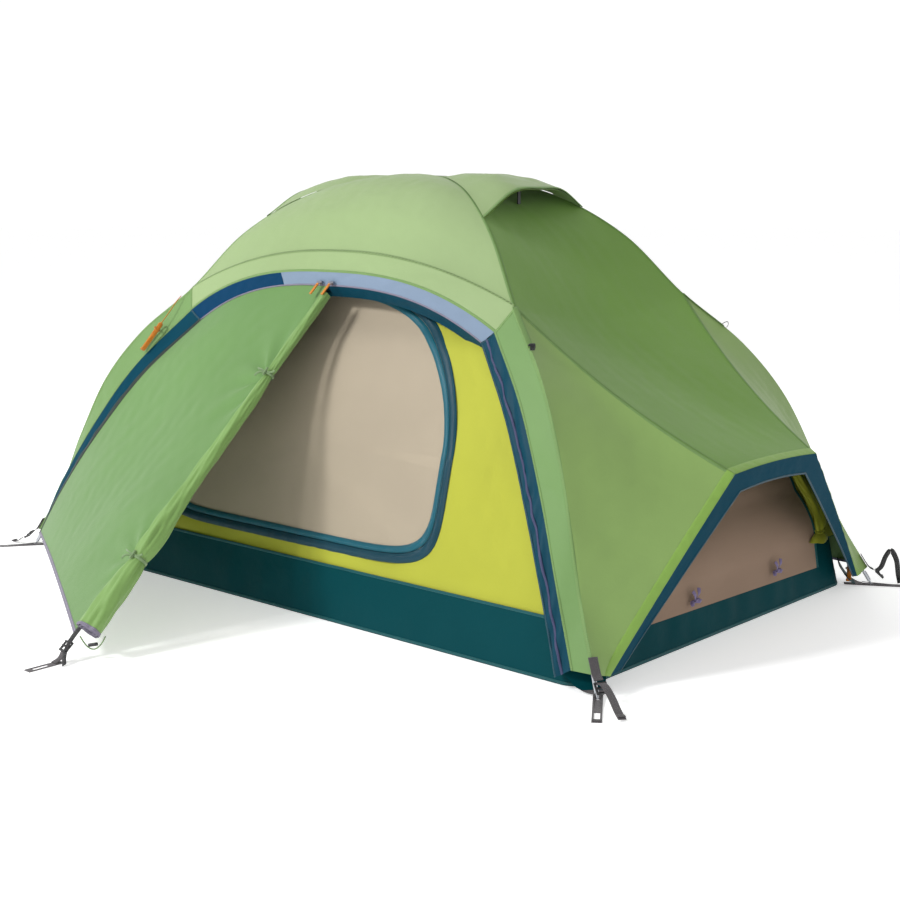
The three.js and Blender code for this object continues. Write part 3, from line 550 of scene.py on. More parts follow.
def panel(
    name, grid, material, slot, nodes=(), held="stretched", on=("pole_a", "pole_b"), seed=1, **how
):
    """A cut panel of cloth, wrinkled a little and placed; its flat size is worked out but nothing uses it."""
    shown = wrinkled(grid, seed, **how)
    obj = place(grid_mesh(name, shown, material), nodes=nodes)
    width, length = flat_size(grid)
    min(flat_area(grid), width * length)
    return shown


def at_distance(grid, edge, distances):
    """Lines on the panel that run along an edge, at those distances from it."""
    turned = {
        "left": grid,
        "right": grid[:, ::-1],
        "bottom": grid.transpose(1, 0, 2),
        "top": grid[::-1].transpose(1, 0, 2),
    }[edge]
    run = np.concatenate([np.zeros((len(turned), 1)), np.cumsum(steps(turned, 1), 1)], 1)
    lines = np.empty((len(turned), len(distances), 3))
    for j, row in enumerate(turned):
        for c in range(3):
            lines[j, :, c] = np.interp(distances, run[j], row[:, c])
    return lines


def strip(name, grid, edge, start, end, material, lift=0.0010, ripple=0.0):
    """A narrow tape sewn on a panel along one edge, proud of it."""
    profile = np.array([-1, -0.85, -0.4, 0, 0.4, 0.85, 1])
    height = lift * np.array([0.2, 1, 1.15, 1.2, 1.15, 1, 0.2])
    mid, half = (start + end) / 2, (end - start) / 2
    lines = at_distance(grid, edge, mid + half * profile)
    raised = height + ripple * waves(lines, 0.03, 7)
    shown = lines + normals(lines) * raised[..., None]
    return place(grid_mesh(name, shown, material, across=profile))


def hem(name, grid, edge, width, material, thick=0.0012):
    """A tape folded over a panel's free edge."""
    distances = np.array([width, width * 0.9, width * 0.5, 0.001, 0, 0, 0.001, width * 0.5, width])
    height = thick * np.array([0, 1, 1.1, 1, 0.5, -0.5, -1, -1.1, -1])
    lines = at_distance(grid, edge, distances)
    out = normals(lines[:, [0, 2, 3]])[:, 1:2]
    shown = lines + out * height[None, :, None]
    return place(grid_mesh(name, shown, material, across=np.linspace(-1, 1, 9)))


def sweep(name, points, section, material, across=None):
    """A capped section carried along a line. across is the section's first axis."""
    pts = np.array(points, float)
    tangent = unit(np.gradient(pts, axis=0))
    side = np.empty_like(pts)
    last = vec(0.31, 0.52, 0.79)
    for i, t in enumerate(tangent):
        want = last if across is None else across
        side[i] = unit(want - (want @ t) * t)
        last = side[i]
    up = np.cross(tangent, side)
    section = np.array(section, float)
    grid = pts[:, None] + side[:, None] * section[None, :, :1] + up[:, None] * section[None, :, 1:]
    obj = grid_mesh(name, grid, material, ring=True, across=section[:, 0] / np.abs(section[:, 0]).max())
    cap(obj, material, len(section), len(pts) * len(section))
    return obj


def cap(obj, material, count, total):
    """Closes both ends of a swept tube whose section has that many points."""
    mesh = obj.data
    faces = [list(p.vertices) for p in mesh.polygons]
    faces += [list(range(count))[::-1], list(range(total - count, total))]
    uvs = [tuple(d.uv) for d in mesh.uv_layers[0].data] + [(0, 0)] * (2 * count)
    capped = bpy.data.meshes.new(obj.name)
    capped.from_pydata([v.co[:] for v in mesh.vertices], [], faces)
    layer = capped.uv_layers.new(name="UVMap")
    layer.data.foreach_set("uv", np.array(uvs, np.float32).ravel())
    capped.polygons.foreach_set("use_smooth", [True] * (len(faces) - 2) + [False, False])
    capped.materials.append(material)
    obj.data = capped


def ring_section(radius, sides=10):
    angle = np.arange(sides) * 2 * math.pi / sides
    return np.stack([radius * np.cos(angle), radius * np.sin(angle)], 1)


def flat_section(width, thick):
    w, t = width / 2, thick / 2
    return [
        (-w, -t * 0.4), (-w * 0.94, -t), (0, -t * 1.05), (w * 0.94, -t), (w, -t * 0.4),
        (w, t * 0.4), (w * 0.94, t), (0, t * 1.05), (-w * 0.94, t), (-w, t * 0.4),
    ]


def smooth(points, count):
    curve = through(points)
    return np.array([curve(t) for t in np.linspace(0, 1, count)])


def tube(name, points, radius, material, body="tent", count=40):
    return place(sweep(name, smooth(points, count), ring_section(radius), material), body)


def strap(name, points, width, thick, material, across, body="tent", count=36):
    line = smooth(points, count)
    return place(sweep(name, line, flat_section(width, thick), material, across=across), body)


# ---- Flysheet ------------------------------------------------------------------------------------


def fly_front():
    left, right = stretch(ridge(-1, -1), KNEE, RIDGE_TOP), stretch(ridge(1, -1), KNEE, RIDGE_TOP)
    crown = bowed(left(1), right(1), vec(0, 0.008, 0.001))
    roof = coons(brow_line, crown, left, right, 110, 64)
    v, u = np.linspace(0, 1, roof.shape[0])[:, None], np.linspace(0, 1, roof.shape[1])[None, :]
    roof[..., 2] -= FRONT_SAG * np.sin(math.pi * v) * 4 * u * (1 - u)
    roof = panel("front_roof", roof, FLY_ROOF_PAINTED_LIGHT, "fly_cloth_light", ["fly_front_roof"], seed=3, depth=0.003)
    strip("seam_brow", roof, "bottom", 0.000, 0.010, BROW_SEAM, lift=0.0014)
    for side in ("left", "right"):
        strip(f"seam_ridge_{side}", roof, side, 0.000, 0.010, SEAM)

    fall = lambda t: straight(ARCH_OUTER(t), brow_line(t))
    brow = coons(ARCH_OUTER, brow_line, fall(0), fall(1), 110, 8)
    panel(
        "front_brow", brow, FLY_ROOF_PAINTED_LIGHT, "fly_cloth_light", ["fly_front_brow"], on=["pole_brow"], seed=5,
        depth=0.001,
    )
    strip("seam_arch", brow, "bottom", 0.000, 0.008, SEAM)

    for side, sx in ENDS.items():
        edge = stretch(ridge(sx, -1), 0, KNEE)
        leg = LEG_OUTER[side]
        grid = coons(straight(leg(0), edge(0)), straight(leg(1), edge(1)), leg, edge, 20, 90)
        shown = panel(
            f"front_leg_{side}", grid, FLY_LEGS_BACK_PAINTED_SHADE, "fly_cloth_light", [f"fly_front_leg_{side}"],
            seed=7 + sx, depth=0.0025, length=0.22,
        )
        strip(f"seam_knee_{side}", shown, "right", 0.000, 0.010, SEAM)
        strip(f"seam_leg_{side}", shown, "left", 0.000, 0.007, SEAM)
        strip(f"seam_leg_top_{side}", shown, "top", 0.000, 0.008, SEAM)


def entrance_band():
    """Three lengths of cloth joined into the frame of the entrance, with the zip along its inner edge."""

    def part(name, outer, inner, material, seed, count, pull):
        grid = between(outer, inner, count, 10)
        u = np.linspace(0, 1, grid.shape[1])[None, :]
        v = np.linspace(0, 1, grid.shape[0])[:, None]
        folds = pull * np.sin(9 * math.pi * (u * 1.6 + 0.22 * v) + 2.2 * waves(grid, 0.25, seed))
        grid = grid + normals(grid) * (folds * np.sin(math.pi * v) ** 0.6)[..., None]
        return panel(
            name, grid, material, "band_cloth", ["fly_entrance_band"] if seed == 20 else (), on=["pole_brow"],
            seed=seed, depth=0.0012, length=0.1, fine=0.0005, fine_length=0.03,
        )

    cut = 0.34
    outer, inner = stretch(ARCH_OUTER, cut, 1), stretch(ARCH_INNER, cut, 1)
    arch = part("band_arch", outer, inner, BAND_GREY, 20, 80, 0.0004)
    outer, inner = stretch(ARCH_OUTER, 0, cut), stretch(ARCH_INNER, 0, cut)
    shoulder = part("band_shoulder", outer, inner, BAND_BLUE, 21, 50, 0.0006)
    hem("piping_shoulder", shoulder, "top", 0.005, HEM_GREY)
    right = part("band_leg_right", LEG_OUTER["right"], LEG_INNER["right"], BAND_TEAL, 22, 110, 0.0034)
    left = part("band_leg_left", LEG_OUTER["left"], LEG_INNER["left"], BAND_NAVY, 24, 110, 0.0008)
    hem("piping_arch", arch, "top", 0.005, HEM_GREY)
    hem("piping_leg_left", left, "top", 0.009, ZIP_DARK)
    strip("zip_leg_right", right, "top", 0.018, 0.025, ZIP_TAPE, lift=0.0020, ripple=0.0008)
    hem("edge_leg_right", right, "top", 0.006, PIPING_DARK)
    for side, grid in (("left", left), ("right", right)):
        strip(f"band_mitre_{side}", grid, "right", 0.0, 0.006, PIPING_DARK)

    arch_edge = stretch(ARCH_INNER, 0.5, 1)
    behind_arch = lambda t: arch_edge(t) + vec(-0.012 * t, 0.020, -0.030)
    lining = between(behind_arch, arch_edge, 60, 6)
    panel("band_lining", lining, BAND_TEAL, "band_cloth", on=["pole_brow"], seed=27, depth=0.001, length=0.08)
    leg_edge = LEG_INNER["right"]
    behind_leg = lambda t: leg_edge(t) + vec(-0.016, 0.020, 0.002)
    lining = between(leg_edge, behind_leg, 90, 6)
    panel(
        "band_lining_leg", lining, PIPING_DARK, "band_cloth", on=["pole_b"], seed=28, depth=0.001,
        length=0.06,
    )


def sagged(grid, share):
    rows, columns = grid.shape[0] - 1, grid.shape[1] - 1
    v, u = np.arange(rows + 1)[:, None] / rows, np.arange(columns + 1)[None, :] / columns
    width = np.linalg.norm(grid[:, -1] - grid[:, 0], axis=-1)[:, None]
    low = grid.copy()
    low[..., 2] -= 4 * share * 0.5 * width * np.sin(math.pi * v) * u * (1 - u)
    return low


def fly_ends():
    for side, sx in ENDS.items():
        brow = bowed(brow_corner(sx, -1), brow_corner(sx, 1), vec(0, 0, END_LIFT))
        edge = {sy: joined(end_seam(sx, sy), stretch(ridge(sx, sy), KNEE, RIDGE_TOP), 0.5) for sy in (-1, 1)}
        crown = straight(edge[-1](1), edge[1](1))
        roof = sagged(coons(brow, crown, edge[-1], edge[1], 80, 120), ROOF_SAG)
        roof = panel(
            f"end_roof_{side}", roof, FLY_END_PAINTED_SHADE, "fly_cloth_dark", [f"fly_end_roof_{side}"],
            seed=31 + sx, depth=0.004, length=0.4,
        )
        strip(
            f"end_roof_hem_{side}", roof, "bottom", 0.0, 0.026, FLY_HEM,
            lift=0.0015, ripple=0.0004,
        )
        for depth, sy in DEPTHS.items():
            beside = "left" if sy < 0 else "right"
            # These seams use the darker seam tape, with painted shade.
            strip(f"seam_end_{side}_{depth}", roof, beside, 0.0, 0.009, SEAM_PAINTED_SHADE)
            end_wall(side, sx, depth, sy)
        end_band(side, sx)


def end_wall(side, sx, depth, sy):
    edge, foot = stretch(ridge(sx, sy), 0, KNEE), end_leg_foot(sx, sy)
    leg = bowed(foot, brow_corner(sx, sy), vec(0, sy * 0.006, 0))
    seam = end_seam(sx, sy)
    wall = coons(straight(edge(0), foot), lambda t: seam(1 - t), edge, leg, 50, 90)
    wall = panel(
        f"end_wall_{side}_{depth}", wall, FLY_WALL_PAINTED_SHADE, "fly_cloth_dark", [f"fly_end_wall_{side}_{depth}"],
        seed=41 + sx + 3 * sy, depth=0.003, length=0.3,
    )
    strip(
        f"wall_hem_{side}_{depth}", wall, "right", 0.0, 0.024, FLY_HEM,
        lift=0.0014, ripple=0.0006,
    )
    strip(f"wall_seam_{side}_{depth}", wall, "top", 0.0, 0.008, SEAM)


def end_band(side, sx):
    """The dark band round an end opening."""
    lift = vec(0, 0, END_LIFT)
    inner_top = lambda sy: vec(sx * (END_BROW[0] - 0.008), sy * (END_BROW[1] - 0.042), END_BROW[2] - END_BAND)
    inner_foot = lambda sy: vec(sx * 1.153, sy * (0.630 - END_FOOT_BAND[sy]), 0.040)
    parts = {
        "top": (
            bowed(brow_corner(sx, -1), brow_corner(sx, 1), lift),
            bowed(inner_top(-1), inner_top(1), lift),
        )
    }
    for depth, sy in DEPTHS.items():
        parts[depth] = (
            bowed(end_leg_foot(sx, sy), brow_corner(sx, sy), vec(0, sy * 0.006, 0)),
            bowed(inner_foot(sy), inner_top(sy), vec(0, sy * 0.006, 0)),
        )
    for name, (outer, inner) in parts.items():
        grid = between(outer, inner, 60, 8)
        shown = panel(
            f"end_band_{side}_{name}", grid, BAND_NAVY, "band_cloth",
            [f"fly_end_band_{side}"] if name == "top" else (), on=[f"pole_end_{side}"],
            seed=51 + sx, depth=0.0012, length=0.12, fine=0.0005, fine_length=0.03,
        )
        hem(f"end_band_hem_{side}_{name}", shown, "top", 0.006, PIPING_DARK)


def fly_back():
    left, right = stretch(ridge(-1, 1), 0, RIDGE_TOP), stretch(ridge(1, 1), 0, RIDGE_TOP)
    foot = bowed(left(0), right(0), vec(0, 0.045, 0.012))
    grid = coons(foot, straight(left(1), right(1)), left, right, 120, 120)
    shown = panel("back", grid, FLY_LEGS_BACK_PAINTED_SHADE, "fly_cloth_light", ["fly_back"], seed=61, depth=0.006, length=0.5)
    strip("seam_back_left", shown, "left", 0.0, 0.010, SEAM)
    strip("seam_back_right", shown, "right", 0.0, 0.010, SEAM)
    hem("back_hem", shown, "bottom", 0.010, HEM_GREY)


def crown_patch():
    """A reinforcing patch sewn over the middle, where the four roof panels meet."""
    corners = [(1, -1), (1, 1), (-1, 1), (-1, -1)]
    reach = 0.058
    rows = []
    for share in np.linspace(0.02, 1, 10):
        t = 1 - share * reach / 0.200 / 9
        tips = [ridge(sx, sy)(t) for sx, sy in corners]
        nexts = tips[1:] + tips[:1]
        rows.append([a + (b - a) * s for a, b in zip(tips, nexts) for s in np.linspace(0, 1, 8)[:-1]])
    grid = np.array(rows) + vec(0, 0, 0.0022)
    place(grid_mesh("crown_patch", grid, FLY_ROOF_PAINTED_LIGHT, ring=True))


def vent_hoods():
    """Each hood stands on its prop."""
    for side, sx in ENDS.items():
        lifted = vec(0, 0, HOOD_LIFT)
        peak = HOOD_PEAK * (sx, 1, 1)
        end, shoulder, seam = {}, {}, {}
        for sy in (-1, 1):
            end[sy] = ridge(sx, sy)(HOOD_RIDGE[sy]) + lifted
            shoulder[sy] = end[sy] + (peak - end[sy]) * 0.52 + vec(0, 0, HOOD_SHOULDER[sy])
            seam[sy] = lambda t, c=stretch(ridge(sx, sy), HOOD_RIDGE[sy], HOOD_TOP): c(t) + lifted
        lip = through([end[-1], shoulder[-1], peak, shoulder[1], end[1]])
        hood = coons(lip, straight(seam[-1](1), seam[1](1)), seam[-1], seam[1], 60, 30)
        shown = wrinkled(hood, 71 + sx, depth=0.0015, length=0.12)
        mesh = grid_mesh(f"hood_{side}", shown, FLY_ROOF_PAINTED_LIGHT)
        obj = place(mesh, nodes=[f"vent_hood_{side}"])
        width, length = flat_size(hood)
        area = min(flat_area(hood), width * length)
        edge = hem(f"hood_lip_{side}", shown, "bottom", 0.010, SEAM, thick=0.0016)
        # The hood's underside, in the hems' yellower green: the cloth's own underside, with the light shining
        # through it painted in.
        under = hood[:8] - vec(0, 0, 0.005)
        lining = place(grid_mesh(f"hood_lining_{side}", under, FLY_HEM))
        for piece in (obj, edge, lining):
            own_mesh(piece)


# ---- Vestibule -----------------------------------------------------------------------------------


def roll_radius(t):
    return ROLL_FOOT + (ROLL_TOP - ROLL_FOOT) * min(1, t * ROLL_TAPER)


def roll_centre(t):
    return VESTIBULE_TIP + (ARCH_TOP - VESTIBULE_TIP) * t + vec(roll_radius(t) + ROLL_CLEAR, 0, 0)


TIE_TAILS = [(-0.042, 0.010, 0.004), (-0.036, -0.016, 0.007), (0.030, 0.008, -0.004)]


def vestibule():
    left = LEG_INNER["left"]
    foot = bowed(left(0), VESTIBULE_TIP, vec(0, 0, 0.014))
    edge = bowed(VESTIBULE_TIP, ARCH_TOP, vec(0, 0.014, -0.014))
    grid = coons(foot, stretch(ARCH_INNER, 0, 0.5), left, edge, 90, 100)
    out = normals(grid)
    v, u = np.linspace(0, 1, grid.shape[0])[:, None], np.linspace(0, 1, grid.shape[1])[None, :]
    gathers = np.zeros(grid.shape[:2])
    for at, reach, depth in ((0.72, 0.17, 0.009), (0.20, 0.11, 0.007)):
        angle = np.arctan2((v - at) * 1.2, 1.001 - u)
        near = np.exp(-(((v - at) * 1.2) ** 2 + (1 - u) ** 2) / reach**2)
        gathers += depth * near * np.sin(9 * angle + 0.6) * (1 - np.exp(-((1 - u) / 0.02)))
    shown = panel(
        "vestibule_left", grid + out * gathers[..., None], FLY_VESTIBULE_PAINTED_SHADE, "fly_cloth_light",
        ["vestibule_left_panel"], held="hung",
        seed=81, depth=0.006, length=0.45, fine=0.0008, fine_length=0.07,
    )
    hem("vestibule_hem", shown, "bottom", 0.011, HEM_GREY)
    strip("vestibule_zip_left", shown, "left", 0.000, 0.014, ZIP_DARK, lift=0.0018)
    strip("vestibule_edge", shown, "right", 0.000, 0.012, SEAM, lift=0.0012)

    roll()


def roll():
    """The right half, rolled up along the middle: one sheet wound into a loose, creased roll."""
    along = unit(ARCH_TOP - VESTIBULE_TIP)
    up = unit(np.cross(vec(1, 0, 0), along))
    turns, around, count = 2.6, 104, 150
    rows = []
    for t in np.linspace(0.018, 0.972, count):
        pinch = sum(0.40 * math.exp(-abs(t - at) / 0.022) for at in ROLL_TIES.values())
        close = sum(math.exp(-abs(t - at) / 0.05) for at in ROLL_TIES.values())
        centre = roll_centre(t)
        angle = np.linspace(0, turns * 2 * math.pi, around)
        share = angle / angle[-1]
        fullness = 1 + 0.10 * math.sin(8.5 * t + 0.4) - 0.06 * math.sin(19 * t)
        radius = roll_radius(t) * (1 - pinch) * fullness * (0.42 + 0.56 * share)
        folds = 0.10 * np.sin(3 * angle - 17 * t) + 0.06 * np.sin(6 * angle + 31 * t + 1)
        folds += 0.13 * close * np.sin(10 * angle + 3) + 0.05 * np.sin(9 * angle - 55 * t)
        radius = radius * (1 + folds * share)
        turn = angle - angle[-1] + math.pi
        rows.append(
            centre + np.outer(radius * np.cos(turn), vec(1, 0, 0)) + np.outer(radius * np.sin(turn), up)
        )
    grid = np.array(rows)
    # The roll's lighter green is painted light.
    obj = place(grid_mesh("vestibule_rolled", grid, FLY_ROLL_PAINTED_LIGHT), nodes=["vestibule_roll"])
    width, length = flat_size(grid)
    flat_area(grid)
    hem("roll_hem", grid, "bottom", 0.010, HEM_GREY)

    for name, t in ROLL_TIES.items():
        centre, radius = roll_centre(t), roll_radius(t) * 0.66 + 0.003
        turn = np.linspace(0, 2 * math.pi, 28)
        loop = [centre + radius * (math.cos(a) * vec(1, 0, 0) + math.sin(a) * up) for a in turn]
        tie = sweep(f"tie_{name}", loop, flat_section(0.009, 0.0016), TIE, across=along)
        place(tie, nodes=[f"roll_tie_{name}"])
        knot = centre + up * (radius + 0.002)
        for k, (dx, da, lift) in enumerate(TIE_TAILS):
            reach = vec(dx, 0, 0) + along * da
            tail = [knot, knot + reach * 0.5 + up * lift, knot + reach]
            strap(f"tie_tail_{name}_{k}", tail, 0.006, 0.0012, TIE, across=up + along * 0.5)
        toggle = [knot - along * 0.012 + up * 0.004, knot + along * 0.012 + up * 0.004]
        tube(f"tie_toggle_{name}", toggle, 0.0032, TIE, count=8)


# ---- Inner tent and groundsheet --------------------------------------------------------------------


def door_reach(angle, margin=0.0):
    power = 2 if math.sin(angle) >= 0 else 7
    a = abs(math.cos(angle)) / (DOOR_X + margin)
    b = abs(math.sin(angle)) / ((DOOR_UP if math.sin(angle) >= 0 else DOOR_DOWN) + margin)
    return (a**power + b**power) ** (-1 / power)


def front_point(x, z):
    return vec(x, -inner_half(z, 1), z)


def front_wall():
    """Yellow wall round the door, from the door's outline out to the corner seams."""
    rim = []
    half = lambda z: inner_half(z, 0)
    for x in np.linspace(-half(WALL_FOOT), half(WALL_FOOT), 60)[:-1]:
        rim.append((x, WALL_FOOT))
    side = np.linspace(WALL_FOOT, WALL_TOP, 50)
    rim += [(half(z), z) for z in side[:-1]]
    rim += [(x, WALL_TOP) for x in np.linspace(half(WALL_TOP), -half(WALL_TOP), 20)]
    rim += [(-half(z), z) for z in side[-2:0:-1]]
    rows = []
    for share in np.linspace(0, 1, 34):
        row = []
        for x, z in rim:
            angle = math.atan2(z - DOOR_Z, x)
            reach = door_reach(angle, 0.004)
            hx, hz = reach * math.cos(angle), DOOR_Z + reach * math.sin(angle)
            row.append(front_point(hx + (x - hx) * share, hz + (z - hz) * share))
        rows.append(row)
    grid = np.array(rows)
    v = np.linspace(0, 1, len(grid))[:, None]
    shift = (0.004 * waves(grid, 0.30, 91) + 0.0012 * waves(grid, 0.06, 92)) * np.sin(math.pi * v)
    shown = grid + np.array([0, -1, 0]) * shift[..., None]
    obj = place(grid_mesh("inner_front", shown, YELLOW, ring=True), nodes=["inner_front_wall"])
    2 * half(WALL_FOOT)
    flat_area(grid)
    return outline_tape("door_piping_wall", 0.0005, 0.024, PIPING_DARK, "tent", bulge=0.006)


def outline_tape(name, start, end, material, body, bulge=0.004):
    """Tape along the door's outline, between two distances outside it (negative is inside)."""
    profile = np.array([-1, -0.8, -0.4, 0, 0.4, 0.8, 1])
    rows = []
    for angle in np.linspace(0, 2 * math.pi, 241):
        row = []
        for s in profile:
            reach = door_reach(angle, (start + end) / 2 + (end - start) / 2 * s)
            p = front_point(reach * math.cos(angle), DOOR_Z + reach * math.sin(angle))
            row.append(p + vec(0, -0.0015 - bulge * (1 - s * s) ** 0.7, 0.0))
        rows.append(row)
    grid = np.array(rows)
    grid = grid + np.array([0, -1, 0]) * (0.0007 * waves(grid, 0.05, 95))[..., None]
    return place(grid_mesh(name, grid, material, across=profile), body)


def inner_door():
    rows = []
    for share in np.linspace(0.0005, 1, 40):
        row = []
        for k in range(120):
            angle = 2 * math.pi * k / 120
            reach = share * door_reach(angle)
            row.append(front_point(reach * math.cos(angle), DOOR_Z + reach * math.sin(angle)))
        rows.append(row)
    grid = np.array(rows)
    v = np.linspace(0, 1, len(grid))[:, None]
    shift = (0.0008 * waves(grid, 0.60, 101) + 0.0002 * waves(grid, 0.07, 102)) * np.sin(math.pi * v)
    shown = grid + np.array([0, -1, 0]) * (shift - 0.001)[..., None]
    obj = place(grid_mesh("door_net", shown, BEIGE, ring=True), "inner_door", ["inner_door"])
    flat_area(grid)
    # The door's tape uses the lighter piping, which carries a painted highlight.
    outline_tape("door_piping", -0.018, -0.0005, PIPING_PAINTED_HIGHLIGHT, "inner_door", bulge=0.004)


def wall_grid(to_wall, axis, columns=70, rows=60):
    grid = []
    for z in np.linspace(WALL_FOOT, WALL_TOP, rows):
        half = inner_half(z, axis) - 0.001
        grid.append([to_wall(half * s, z) for s in np.linspace(-1, 1, columns)])
    return np.array(grid)


def inner_walls():
    back = wall_grid(lambda x, z: vec(-x, inner_half(z, 1), z), 0)
    panel("inner_back", back, YELLOW, "inner_cloth", ["inner_back_wall"], held="hung",
          on=["inner_hook_back_right"], seed=111, depth=0.006)
    for side, sx in ENDS.items():
        to_wall = lambda y, z, sx=sx: vec(sx * inner_half(z, 0), sx * y, z)
        wall = wall_grid(to_wall, 1)
        panel(f"inner_end_{side}", wall, YELLOW, "inner_cloth", [f"inner_end_wall_{side}"], held="hung",
              on=[f"inner_hook_front_{side}"], seed=121 + sx, depth=0.004)
        end_window(side, sx)


def end_window(side, sx):
    """Netting window in the end wall, its toggles, and the flap rolled beside it."""
    rows = []
    for s in np.linspace(0, 1, 40):
        row = []
        for u in np.linspace(0, 1, 50):
            foot = 0.098 - 0.018 * u
            z = foot + (0.56 - foot) * s
            low, high = -0.90 * inner_half(z, 1), min(0.50, 0.84 * inner_half(z, 1))
            over_tub = TUB_X - TUB_LEAN * min(1, z / TUB_HEIGHT) + 0.010
            near = inner_half(z, 0) + 0.006
            out = near + max(0, over_tub - near) * min(1, max(0, (0.30 - z) / 0.14))
            row.append(vec(sx * out, low + (high - low) * u, z))
        rows.append(row)
    grid = np.array(rows)
    shown = panel(f"window_{side}", grid, WINDOW, "door_cloth", held="stretched", on=[f"inner_end_{side}"],
                  seed=131 + sx, depth=0.002, length=0.2)
    for edge in ("left", "right", "top"):
        strip(f"window_tape_{side}_{edge}", shown, edge, 0.0, 0.012, TUB_SEAM)
    for k, y in enumerate((-0.180, 0.243)):
        knot = vec(sx * (TUB_X + 0.004), y, 0.118)
        for j, (dy, dz) in enumerate(((-0.016, 0.030), (0.012, 0.034), (0.026, -0.004), (-0.024, -0.006))):
            tail = [knot, knot + vec(sx * 0.006, dy * 0.6, dz * 0.6), knot + vec(sx * 0.002, dy, dz)]
            name = f"window_tie_{side}_{k}{j}"
            strap(name, tail, 0.010, 0.0012, TOGGLE, across=vec(0, 0.6, 0.5))
        bar = [knot - vec(0, 0.018, 0), knot + vec(0, 0.018, 0.002)]
        tube(f"window_toggle_{side}_{k}", bar, 0.004, TOGGLE, count=6)
    flap_roll(side, sx)


def flap_roll(side, sx):
    line = [
        vec(sx * (inner_half(z, 0) + 0.026), y, z)
        for y, z in ((0.470, 0.42), (0.505, 0.33), (0.535, 0.255), (0.520, 0.195), (0.490, 0.160))
    ]
    pts = smooth(line, 60)
    rows = []
    for j, p in enumerate(pts):
        t = j / 59
        radius = 0.030 * (1 - 0.50 * math.exp(-(((t - 0.80) / 0.07) ** 2))) * (0.45 + 0.75 * t)
        angle = np.linspace(0, 2 * math.pi, 33)
        wobble = radius * (1 + 0.16 * np.sin(4 * angle + 9 * t) + 0.07 * np.sin(7 * angle - 14 * t))
        rows.append(p + np.stack([wobble * np.cos(angle) * 0.6, wobble * np.sin(angle), 0 * angle], 1))
    grid = np.array(rows)
    place(grid_mesh(f"window_flap_{side}", grid, YELLOW))
    loop = pts[48]
    ring = [
        loop + vec(0.012 * math.cos(a), 0.019 * math.sin(a), 0.004 * math.sin(2 * a))
        for a in np.linspace(0, 2 * math.pi, 20)
    ]
    tube(f"window_flap_tie_{side}", ring, 0.003, YELLOW, count=30)


def tub_loop(inset, z, steps_round=14):
    x, y = TUB_X - inset - TUB_CORNER, TUB_Y - inset - TUB_CORNER
    points = []
    for cx, cy, quarter in ((x, y, 0), (-x, y, 1), (-x, -y, 2), (x, -y, 3)):
        for k in range(steps_round + 1):
            a = (quarter + k / steps_round) * math.pi / 2
            points.append((cx + TUB_CORNER * math.cos(a), cy + TUB_CORNER * math.sin(a), z))
        nx, ny = ((-x, y), (-x, -y), (x, -y), (x, y))[quarter]
        start = np.array(points[-1])
        turn = (quarter + 1) * math.pi / 2
        goal = vec(nx + TUB_CORNER * math.cos(turn), ny + TUB_CORNER * math.sin(turn), z)
        points += [tuple(start + (goal - start) * s) for s in np.linspace(0, 1, 70)[1:-1]]
    return np.array(points)


def groundsheet():
    rows = [
        tub_loop(TUB_SKIN + TUB_LEAN * s**1.3, TUB_BASE + (TUB_HEIGHT + 0.004) * s)
        for s in np.linspace(0, 1, 26)
    ]
    grid = np.array(rows)
    v = np.linspace(0, 1, len(grid))[:, None]
    out = unit(grid * (1, 1, 0))
    pucker = 0.0035 * waves(grid * (1, 1, 0.35), 0.11, 141) + 0.004 * waves(grid * (1, 1, 0.2), 0.4, 142)
    shown = grid + out * ((pucker * np.sin(math.pi * v * 0.95 + 0.03)).clip(-0.004, 0.006))[..., None]
    wall = place(grid_mesh("tub_wall", shown, TUB, ring=True))
    around = float(steps(grid, 1).sum(1).max()) + 0.01
    min(flat_area(grid), around * 0.16)
    floor_rows = [tub_loop(TUB_SKIN, TUB_BASE) * (s, s, 1) for s in np.linspace(0.02, 1, 24)]
    floor_grid = np.array(floor_rows)
    floor_grid[..., 2] += 0.0006 + 0.0006 * waves(floor_grid, 0.25, 143)
    base = grid_mesh("tub_floor", floor_grid, TUB, ring=True)
    place(base, nodes=["groundsheet"])
    flat_area(floor_grid)
    closed = np.concatenate([shown, shown[:, :1]], 1)
    from_top = closed[::-1]
    strip("tub_top_seam", from_top, "bottom", 0.0, 0.008, TUB_SEAM, lift=0.0014)
    strip("tub_foot_seam", closed, "bottom", 0.002, 0.009, TUB_SEAM, lift=0.0012)


# ---- Corners, webbing and anchors --------------------------------------------------------------------


def corner_axes(sx, sy):
    out = vec(sx * DIAGONAL[0], sy * DIAGONAL[1], 0)
    return out, np.cross(vec(0, 0, 1), out)


# Each loose strap end: distance out along the diagonal, distance across it, and height.
TAILS = {
    "front_right": [
        (1.374, 0, 0.046), (1.392, 0.004, 0.044), (1.432, 0.004, 0.030), (1.478, 0.000, 0.012),
        (1.512, -0.004, 0.005),
    ],
    "front_left": [
        (1.374, 0, 0.046), (1.392, -0.006, 0.032), (1.418, -0.014, 0.020), (1.440, -0.020, 0.006),
        (1.462, -0.030, 0.004),
    ],
    "back_right": [
        (1.378, 0.002, 0.044), (1.391, 0.008, 0.056), (1.404, 0.016, 0.088), (1.418, 0.023, 0.104),
        (1.435, 0.024, 0.078), (1.443, 0.020, 0.032), (1.449, 0.016, 0.006),
    ],
    "back_left": [
        (1.374, 0, 0.046), (1.394, -0.008, 0.034), (1.420, -0.016, 0.018), (1.446, -0.026, 0.005),
        (1.480, -0.032, 0.004),
    ],
}


